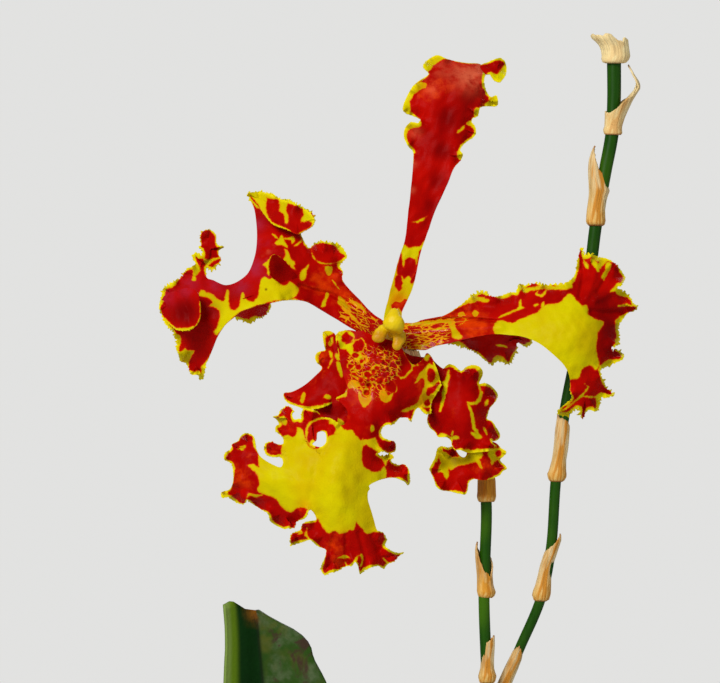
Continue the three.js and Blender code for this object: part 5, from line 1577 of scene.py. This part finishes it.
def bulb(name, x, y, turn, height, width, lean):
    """A flattened bulb, furrowed along its length and drawn in at both ends."""
    start, neck = BULB["start"], BULB["neck"]

    def shape(round_, up):
        a = 2 * math.pi * round_
        arch = np.sin(math.pi * np.minimum(1, start + (1 - start) * up)) ** BULB["fullness"]
        furrow = 1 - BULB["furrow"] * arch * np.abs(np.sin(4.5 * a + 0.7 * np.sin(3 * up + x) + x)) ** 5
        furrow -= BULB["line"] * arch * np.abs(np.sin(11 * a + 1.3 * np.sin(5 * up + y))) ** 3
        skin = np.column_stack([np.cos(a) * 9, np.sin(a) * 9 + up * 26])
        furrow += 0.02 * waves(skin, (3, 7), int(height)) * arch
        wide = width * (neck + (1 - neck) * arch) * furrow * np.where((up <= 0) | (up >= 1), 0, 1)
        rise = height * np.clip((up - 0.012) / 0.976, 0, 1)
        return about(x, y, lean, turn, up, wide * np.cos(a), wide * BULB_FLAT * np.sin(a), rise)

    return rolled(name, shape, BULB["around"], BULB["levels"])


for key, how in BULBS.items():
    settle(bulb(f"pseudobulb_{key}", **how), f"pseudobulb_{key}", "bulb", BULB_MATERIAL)


# Leaves

LEAF_MATERIAL, tree, surface = material("leaf mottled green")
place = here(tree)
tones = dict(
    dark=(0.008, 0.036, 0.002), green=(0.030, 0.080, 0.005), grey=(0.085, 0.115, 0.052),
    olive=(0.085, 0.088, 0.010), brown=(0.046, 0.018, 0.014), deep=(0.0002, 0.016, 0.0002),
    shaded=(0.001, 0.036, 0.0006), edge=(0.110, 0.200, 0.004), rim=(0.18, 0.27, 0.05),
    rib=(0.002, 0.008, 0.002), char=(0.045, 0.012, 0.006), scorch=(0.23, 0.085, 0.006),
)
green = mix(tree, noise(tree, place, 70, 3, 0.6), tones["dark"], tones["green"])
green = mix(tree, blotches(tree, place, 150, 0.42, 0.66, detail=4, amount=0.85), green, tones["grey"])
green = mix(tree, blotches(tree, place, 95, 0.5, 0.68, warp=0.3, amount=0.8), green, tones["olive"])
brown = blotches(tree, place, 115, 0.53, 0.64, detail=4, rough=0.65, warp=0.5, amount=0.85)
green = mix(tree, brown, green, tones["brown"])
shaded = mix(tree, noise(tree, place, 200, 3, 0.6), tones["deep"], tones["shaded"])
# On a lit leaf the half left of the rib is in shade, with a bright margin
across = value_of(tree, "across")
lit = value_of(tree, "lit")
for low, high, tone in ((0.1, -0.08, shaded), (-0.58, -0.78, tones["edge"]), (-0.8, -0.93, tones["rim"])):
    strip = calc(tree, "MULTIPLY", ramp(tree, across, low, high), lit)
    green = mix(tree, strip, green, tone)
green = mix(tree, value_of(tree, "rib"), green, tones["rib"])
burnt = mix(tree, blotches(tree, place, 330, 0.3, 0.6, rough=0.65), tones["char"], tones["scorch"])
green = mix(tree, value_of(tree, "tip"), green, burnt)
grain = noise(tree, place, 1300, 3, 0.6)
dress(tree, surface, green, grain, deep=0.16, strength=0.6, roughness=0.48)
surface.inputs["Specular IOR Level"].default_value = 0.12

# A leaf's outline: share of its length, half width left and right of the rib in millimetres
POINTED = "0,5,5 0.05,5,5 0.1,7,7 0.25,15,15 0.48,24,24 0.68,25,25 0.84,19,19 0.95,8.5,8.5 1,0.8,0.8"
SLANTED = (
    "0,5,5 0.05,5,5 0.1,7,7 0.25,15,15 0.5,24,24 0.7,21.5,24.4 0.83,14.5,19.6 0.917,11.2,15.4 "
    "0.9455,10,12.9 0.956,9.5,12.6 0.967,9.2,11.4 0.978,9,8.6 0.989,9,4.3 1,9,0.8"
)
LEAVES = {
    "a": dict(tip=(-40.4, 2, 333.3), bow=(-32.6, 6, 240), across=(0.98, 0.2, 0), fold=32, outline=SLANTED,
              corner=3.2, lit=1),
    "b": dict(tip=(-30, -40, 268), bow=(-18, -22, 200), across=(0.9, -0.43, 0), width=0.96, fold=18),
    "c": dict(tip=(4, 62, 282), bow=(-2, 38, 210), across=(-0.98, 0.1, 0), fold=20),
    "d": dict(tip=(88, 14, 262), bow=(56, 12, 196), across=(0.15, -0.95, 0.1), width=0.96, fold=20),
    "e": dict(tip=(48, -62, 214), bow=(32, -40, 160), across=(0.85, 0.5, 0), width=0.8, fold=16),
}
LEAF = dict(thick=2.6, around=46, levels=136, channel=1.4, foot_fold=66, foot_share=0.24, rib=1.1)
FOOT_IN_BULB = 2.2  # millimetres


def leaf(name, foot, tip, bow, across, fold, width=1, outline=POINTED, corner=0.0, lit=0.25):
    """A stiff leathery leaf, folded along its midrib, with a channel above it and a keel below. The corner
    left of the tip can stand higher than the tip."""
    rib, length = path_through([foot, np.add(foot, (0, 0, 12)), bow, tip])
    fine = path_through(drawn(outline) * (length, 1, 1))[0](np.linspace(0, 1, 400))
    fields = {}

    def shape(u, t):
        v = 2 * u - 1
        v = np.sign(v) * (1 - (1 - np.abs(v)) ** 1.4)
        place, way, side, _ = frame_on(rib, t, across)
        face = np.cross(side, way)
        left, right = (np.interp(t * length, fine[:, 0], fine[:, k]) for k in (1, 2))
        half = np.where(v < 0, left, right) * width
        tilt = np.radians(fold + (LEAF["foot_fold"] - fold) * ease(1 - t / LEAF["foot_share"]))
        rise = corner * np.interp(v, (-1, -0.75, -0.4, 0), (0.85, 1, 0.3, 0)) * ease((t - 0.9) / 0.1)
        reach = np.abs(v) * half
        lift = np.sqrt(reach**2 + LEAF["channel"] ** 2) - LEAF["channel"]
        wave = 0.5 * waves(np.column_stack([v * 9, t * length]), (31, 52), 7) * np.abs(v)
        fields.update(v=v, t=t, reach=reach)
        aside = side * (np.sign(v) * reach * np.cos(tilt))[:, None]
        forward = face * (lift * np.sin(tilt) + wave)[:, None]
        return (place + aside + way * rise[:, None] + forward) * MM

    piece = rolled(name, shape, LEAF["around"], LEAF["levels"], closed=False)
    v, t, reach = (fields[k] for k in ("v", "t", "reach"))
    keep_value(piece, "across", v)
    keep_value(piece, "rib", ease(1 - reach / LEAF["rib"]) * 0.8)
    keep_value(piece, "tip", ease((t - 0.98) / 0.016) * ease(1 - np.abs(v + 0.1) / 0.5))
    keep_value(piece, "lit", np.full(len(v), lit))
    weigh(piece, 0.29 + 0.29 * ease((1 - np.abs(v)) / 0.6) + 0.42 * ease(1 - t / 0.07))
    modify(piece, "SOLIDIFY", thickness=LEAF["thick"] * MM, offset=0, vertex_group="depth",
           thickness_vertex_group=0)
    piece.vertex_groups.clear()
    alone(piece)
    bpy.ops.object.shade_smooth()
    return piece


for key, how in LEAVES.items():
    bulb_of = BULBS[key]
    foot = (bulb_of["x"] + bulb_of["lean"][0], bulb_of["y"] + bulb_of["lean"][1],
            BULB_FOOT + bulb_of["height"] - FOOT_IN_BULB)
    settle(leaf(f"leaf_{key}", foot, **how), f"leaf_{key}", "leaf", LEAF_MATERIAL)


# Dry sheaths round the bulbs' feet

SHEATH_MATERIAL, tree, surface = material("dry sheath brown")
place = here(tree)
long = stretched(tree, place, (1, 1, 0.12))
tones = dict(brown=(0.20, 0.115, 0.055), straw=(0.46, 0.33, 0.19), dark=(0.10, 0.05, 0.022))
shade = mix(tree, noise(tree, long, 420, 4, 0.65), tones["brown"], tones["straw"])
shade = mix(tree, blotches(tree, place, 120, 0.55, 0.8, rough=0.5), shade, tones["dark"])
dress(tree, surface, shade, noise(tree, long, 900, 3), deep=0.25, strength=0.7, roughness=0.75)


SHEATH = dict(
    tall=20, low=0.45, tear=0.05, crease=0.018, slack=1.2, foot=0.8, flare=0.26, room_wide=0.6, room_deep=1.4,
    thick=0.5, around=160, levels=24,
)


def sheath(name, facing, x, y, turn, height, width, lean):
    """An open cone of papery skin round a bulb's foot, torn at the top."""
    def shape(round_, up):
        a = 2 * math.pi * round_
        peak = ((1 + np.cos(a - facing)) / 2) ** 1.5
        torn = 1 + SHEATH["tear"] * waves(np.column_stack([np.cos(a) * 12, np.sin(a) * 12]), (4, 9), 3)
        rise = up * SHEATH["tall"] * (SHEATH["low"] + (1 - SHEATH["low"]) * peak) * torn
        crease = 1 + SHEATH["crease"] * np.sin(17 * a + x) * (0.3 + up)
        wide = (width + SHEATH["slack"]) * (SHEATH["foot"] + SHEATH["flare"] * up) * crease
        wide = wide + SHEATH["room_wide"]
        deep = wide * BULB_FLAT + SHEATH["room_deep"]
        return about(x, y, lean, turn, rise / height, wide * np.cos(a), deep * np.sin(a), rise)

    piece = rolled(name, shape, SHEATH["around"], SHEATH["levels"])
    modify(piece, "SOLIDIFY", thickness=SHEATH["thick"] * MM, offset=-1)
    return piece


for key, facing in (("a", 3.6), ("d", 4.4), ("e", 5.4)):
    settle(sheath(f"sheath_{key}", facing, **BULBS[key]), f"sheath_{key}", "dry_sheath", SHEATH_MATERIAL)


# Aerial roots

ROOT_MATERIAL, tree, surface = material("root silver")
place = here(tree)
tones = dict(grey=(0.40, 0.40, 0.33), silver=(0.58, 0.57, 0.50), olive=(0.30, 0.27, 0.16))
shade = mix(tree, noise(tree, place, 300, 4, 0.6), tones["grey"], tones["silver"])
shade = mix(tree, blotches(tree, place, 90, 0.55, 0.75, rough=0.5), shade, tones["olive"])
dress(tree, surface, shade, noise(tree, place, 1200, 3), deep=0.2, roughness=0.8)

ROOTS = [
    [(-37, -10, 92), (-43, -18, 95), (-38, -28, 91), (-31, -33, 80)],
    [(-15, -22, 93), (-20, -31, 98), (-12, -42, 94), (-6, -46, 80)],
    [(39, 20, 92), (40, 29, 96), (31, 37, 92), (23, 40, 80)],
    [(30, -36, 92), (38, -34, 96), (43, -23, 91), (44, -12, 79)],
    [(-10, 30, 93), (-22, 36, 97), (-34, 30, 92), (-42, 22, 80)],
]
for i, points in enumerate(ROOTS, 1):
    strand = stalk(f"root_{i}", points, lambda t: 1.5 * (1 - 0.2 * t), step=0.8, bumps=0.06, seed=i)
    settle(strand, f"root_{i}", "root", ROOT_MATERIAL)


# The pot

CLAY, tree, surface = material("terracotta")
place = here(tree)
tones = dict(brick=(0.42, 0.135, 0.055), orange=(0.52, 0.19, 0.085), dark=(0.33, 0.10, 0.045))
CHALK_BLOOM = (0.62, 0.50, 0.42)
shade = mix(tree, noise(tree, place, 22, 4, 0.6), tones["brick"], tones["orange"])
shade = mix(tree, blotches(tree, place, 600, 0.55, 0.75), shade, tones["dark"])
chalk = blotches(tree, place, 35, 0.52, 0.75, detail=5, rough=0.7, amount=0.35)
shade = mix(tree, chalk, shade, CHALK_BLOOM)
turning = noise(tree, stretched(tree, place, (1, 1, 9)), 45, 2)
grain = calc(tree, "MULTIPLY_ADD", noise(tree, place, 2200, 2), 0.4, turning)
dress(tree, surface, shade, grain, deep=0.3, roughness=0.85)

POT = dict(height=104, top=60, foot=43, wall=5.5, floor=6, rim=22, rim_out=3.5, lip=1.5)
DRAIN = dict(radius=5, ring=22, count=3)


def turned(name, profile, around=128, step=2.0, ripple=0.0):
    """A turned piece: a profile of radius, height rows, in millimetres, with rounded corners."""
    rows = np.array(profile, float)
    run = np.concatenate([[0], np.cumsum(np.linalg.norm(np.diff(rows, axis=0), axis=1))])
    spots = np.unique(np.concatenate([run, np.arange(0, run[-1], step)]))

    def shape(turn, up):
        at_run = np.interp(np.round(up * (len(spots) - 1)), np.arange(len(spots)), spots)
        r, z = (np.interp(at_run, run, rows[:, k]) for k in (0, 1))
        a = 2 * math.pi * turn
        r = r * (1 + ripple * np.sin(3 * a) / 60)
        return np.column_stack([r * np.cos(a), r * np.sin(a), z]) * MM

    return rolled(name, shape, around, len(spots) - 1)


def wall_at(z):
    return POT["foot"] + (POT["top"] - POT["foot"]) * z / POT["height"]


h, top, foot_r, wall, base, rim_h, out, lip = POT.values()
under = h - rim_h
pot = turned("pot", [
    (0, 0), (foot_r - lip, 0), (foot_r - 0.4, 0.4), (foot_r, lip), (wall_at(under), under),
    (wall_at(under) + out - 0.5, under + 0.3), (wall_at(under) + out, under + lip),
    (top + out, h - lip), (top + out - 0.45, h - 0.45), (top + out - lip, h), (top - wall + lip, h),
    (top - wall + 0.45, h - 0.45), (top - wall, h - lip), (wall_at(base) - wall, base), (0, base),
], ripple=0.25)
for i in range(DRAIN["count"]):
    a = 2 * math.pi * i / DRAIN["count"] + math.pi / 2
    centre = Vector((DRAIN["ring"] * math.cos(a), DRAIN["ring"] * math.sin(a), base / 2)) * MM
    drill = dict(vertices=32, radius=DRAIN["radius"] * MM, depth=4 * base * MM)
    bpy.ops.mesh.primitive_cylinder_add(**drill, location=centre)
    drill = named("drill", smooth=False)
    modify(pot, "BOOLEAN", operation="DIFFERENCE", object=drill, solver="EXACT")
    bpy.data.objects.remove(drill)
settle(pot, "pot", "clay", CLAY)
alone(pot)
bpy.ops.object.shade_smooth_by_angle(angle=math.radians(40))


# Bark

BARK_MATERIAL, tree, surface = material("bark chips")
place = here(tree)
warp = stretched(tree, place, (1, 1, 2.2))
tones = dict(dark=(0.055, 0.024, 0.011), brown=(0.21, 0.105, 0.05), chip=(0.30, 0.17, 0.09))
PIT = (0.035, 0.016, 0.009)
shade = mix(tree, noise(tree, warp, 140, 4, 0.65), tones["dark"], tones["brown"])
shade = mix(tree, value_of(tree, "chip"), shade, tones["chip"])
shade = mix(tree, blotches(tree, place, 420, 0.5, 0.75, detail=4, rough=0.7), shade, PIT)
dress(tree, surface, shade, noise(tree, warp, 520, 5, 0.7), deep=0.7, strength=0.8, roughness=0.88)

BARK_TOP = 90
edge = wall_at(BARK_TOP) - wall - 0.4
low_edge = wall_at(base + 0.35) - wall - 1.4
plug = turned("plug", [
    (0, base + 0.35), (low_edge, base + 0.35), (edge, BARK_TOP - 5), (edge * 0.72, BARK_TOP - 3),
    (edge * 0.3, BARK_TOP - 1.5), (0, BARK_TOP - 1.5),
], around=96, step=3)
keep_value(plug, "chip", np.zeros(len(plug.data.vertices)))
chips = [plug]
golden_angle = math.pi * (3 - math.sqrt(5))
CHIPS = 190
CHIP_FIELD = 50  # millimetres from the pot's axis
for i in range(CHIPS):
    ring = CHIP_FIELD * math.sqrt((i + 0.5) / CHIPS)
    a = i * golden_angle
    size = np.array((rng.uniform(7, 17), rng.uniform(5, 11), rng.uniform(2.5, 5.5))) * MM / 2
    bpy.ops.mesh.primitive_cube_add(size=2, location=(0, 0, 0))
    chip = named("chip", smooth=False)
    bpy.ops.object.mode_set(mode="EDIT")
    bpy.ops.mesh.subdivide(number_cuts=2)
    bpy.ops.object.mode_set(mode="OBJECT")
    co = points_of(chip)
    co *= 1 - 0.13 * (np.abs(co[:, [1, 2, 0]]) > 0.9)
    co = (co + rng.normal(0, 0.09, co.shape)) * size
    lean = Vector((rng.normal(0, 0.28), rng.normal(0, 0.28), rng.uniform(0, math.pi)))
    turn = np.array(Euler(lean).to_matrix())
    height = BARK_TOP - 1.6 - ring * 0.03 + rng.uniform(-1.5, 1.8)
    spot = np.array((ring * math.cos(a), ring * math.sin(a), height))
    place_points(chip, co @ turn.T + spot * MM)
    keep_value(chip, "chip", np.full(len(co), rng.uniform(0, 0.75)))
    chips.append(chip)
bark = joined("bark_mix", chips)
settle(bark, "bark_mix", "bark", BARK_MATERIAL)


# Camera, light and floor

camera = bpy.data.cameras.new("camera")
camera.sensor_width = 36
camera.lens = camera.sensor_width * EYE_AWAY / (PHOTO_WIDTH * SQUARE)
camera.clip_start = 0.02
viewer = bpy.data.objects.new("camera", camera)
bpy.context.scene.collection.objects.link(viewer)
viewer.location = Vector(on_paper(*EYE, 0)) - Vector((0, EYE_AWAY * MM, 0))
viewer.rotation_euler = (math.pi / 2, 0, 0)
bpy.context.scene.camera = viewer


def lamp(name, place, target, size, power):
    light = bpy.data.lights.new(name, "AREA")
    light.size = size
    light.energy = power
    obj = bpy.data.objects.new(name, light)
    bpy.context.scene.collection.objects.link(obj)
    obj.location = place
    obj.rotation_euler = (Vector(target) - Vector(place)).to_track_quat("-Z", "Y").to_euler()


BLOOM_AT = (-0.01, 0, 0.4)
lamp("key light", (-0.55, -0.9, 1.0), BLOOM_AT, 0.5, 13.5)
lamp("fill light", (0.9, -0.7, 0.5), BLOOM_AT, 0.9, 1.3)
lamp("rim light", (0.3, 0.9, 1.1), BLOOM_AT, 0.6, 4)

world = bpy.data.worlds.new("world")
bpy.context.scene.world = world
world.use_nodes = True
sky = world.node_tree
seen = put(sky, "LightPath").outputs["Is Camera Ray"]
tone = mix(sky, seen, (0.24, 0.245, 0.25), (0.76, 0.76, 0.75))
feed(sky, tone, sky.nodes["Background"].inputs["Color"])

bpy.ops.object.select_all(action="DESELECT")
bpy.ops.mesh.primitive_circle_add(vertices=96, radius=2.15, fill_type="NGON", location=(0, 0, 0))
floor = named("floor", smooth=False)
made, tree, surface = material("pale floor")
dress(tree, surface, (0.74, 0.73, 0.71), roughness=0.75)
away = put(tree, "VectorMath", {0: here(tree)}, operation="LENGTH").outputs["Value"]
haze = ramp(tree, away, 0.45, 1.9)
haze = calc(tree, "MULTIPLY", haze, put(tree, "LightPath").outputs["Is Camera Ray"])
feed(tree, mix(tree, haze, (0, 0, 0), (0.57, 0.57, 0.56)), surface.inputs["Emission Color"])
surface.inputs["Emission Strength"].default_value = 1
floor.data.materials.append(made)

bpy.context.scene.view_settings.view_transform = "Standard"
bpy.context.scene.view_settings.look = "None"

bpy.context.view_layer.update()
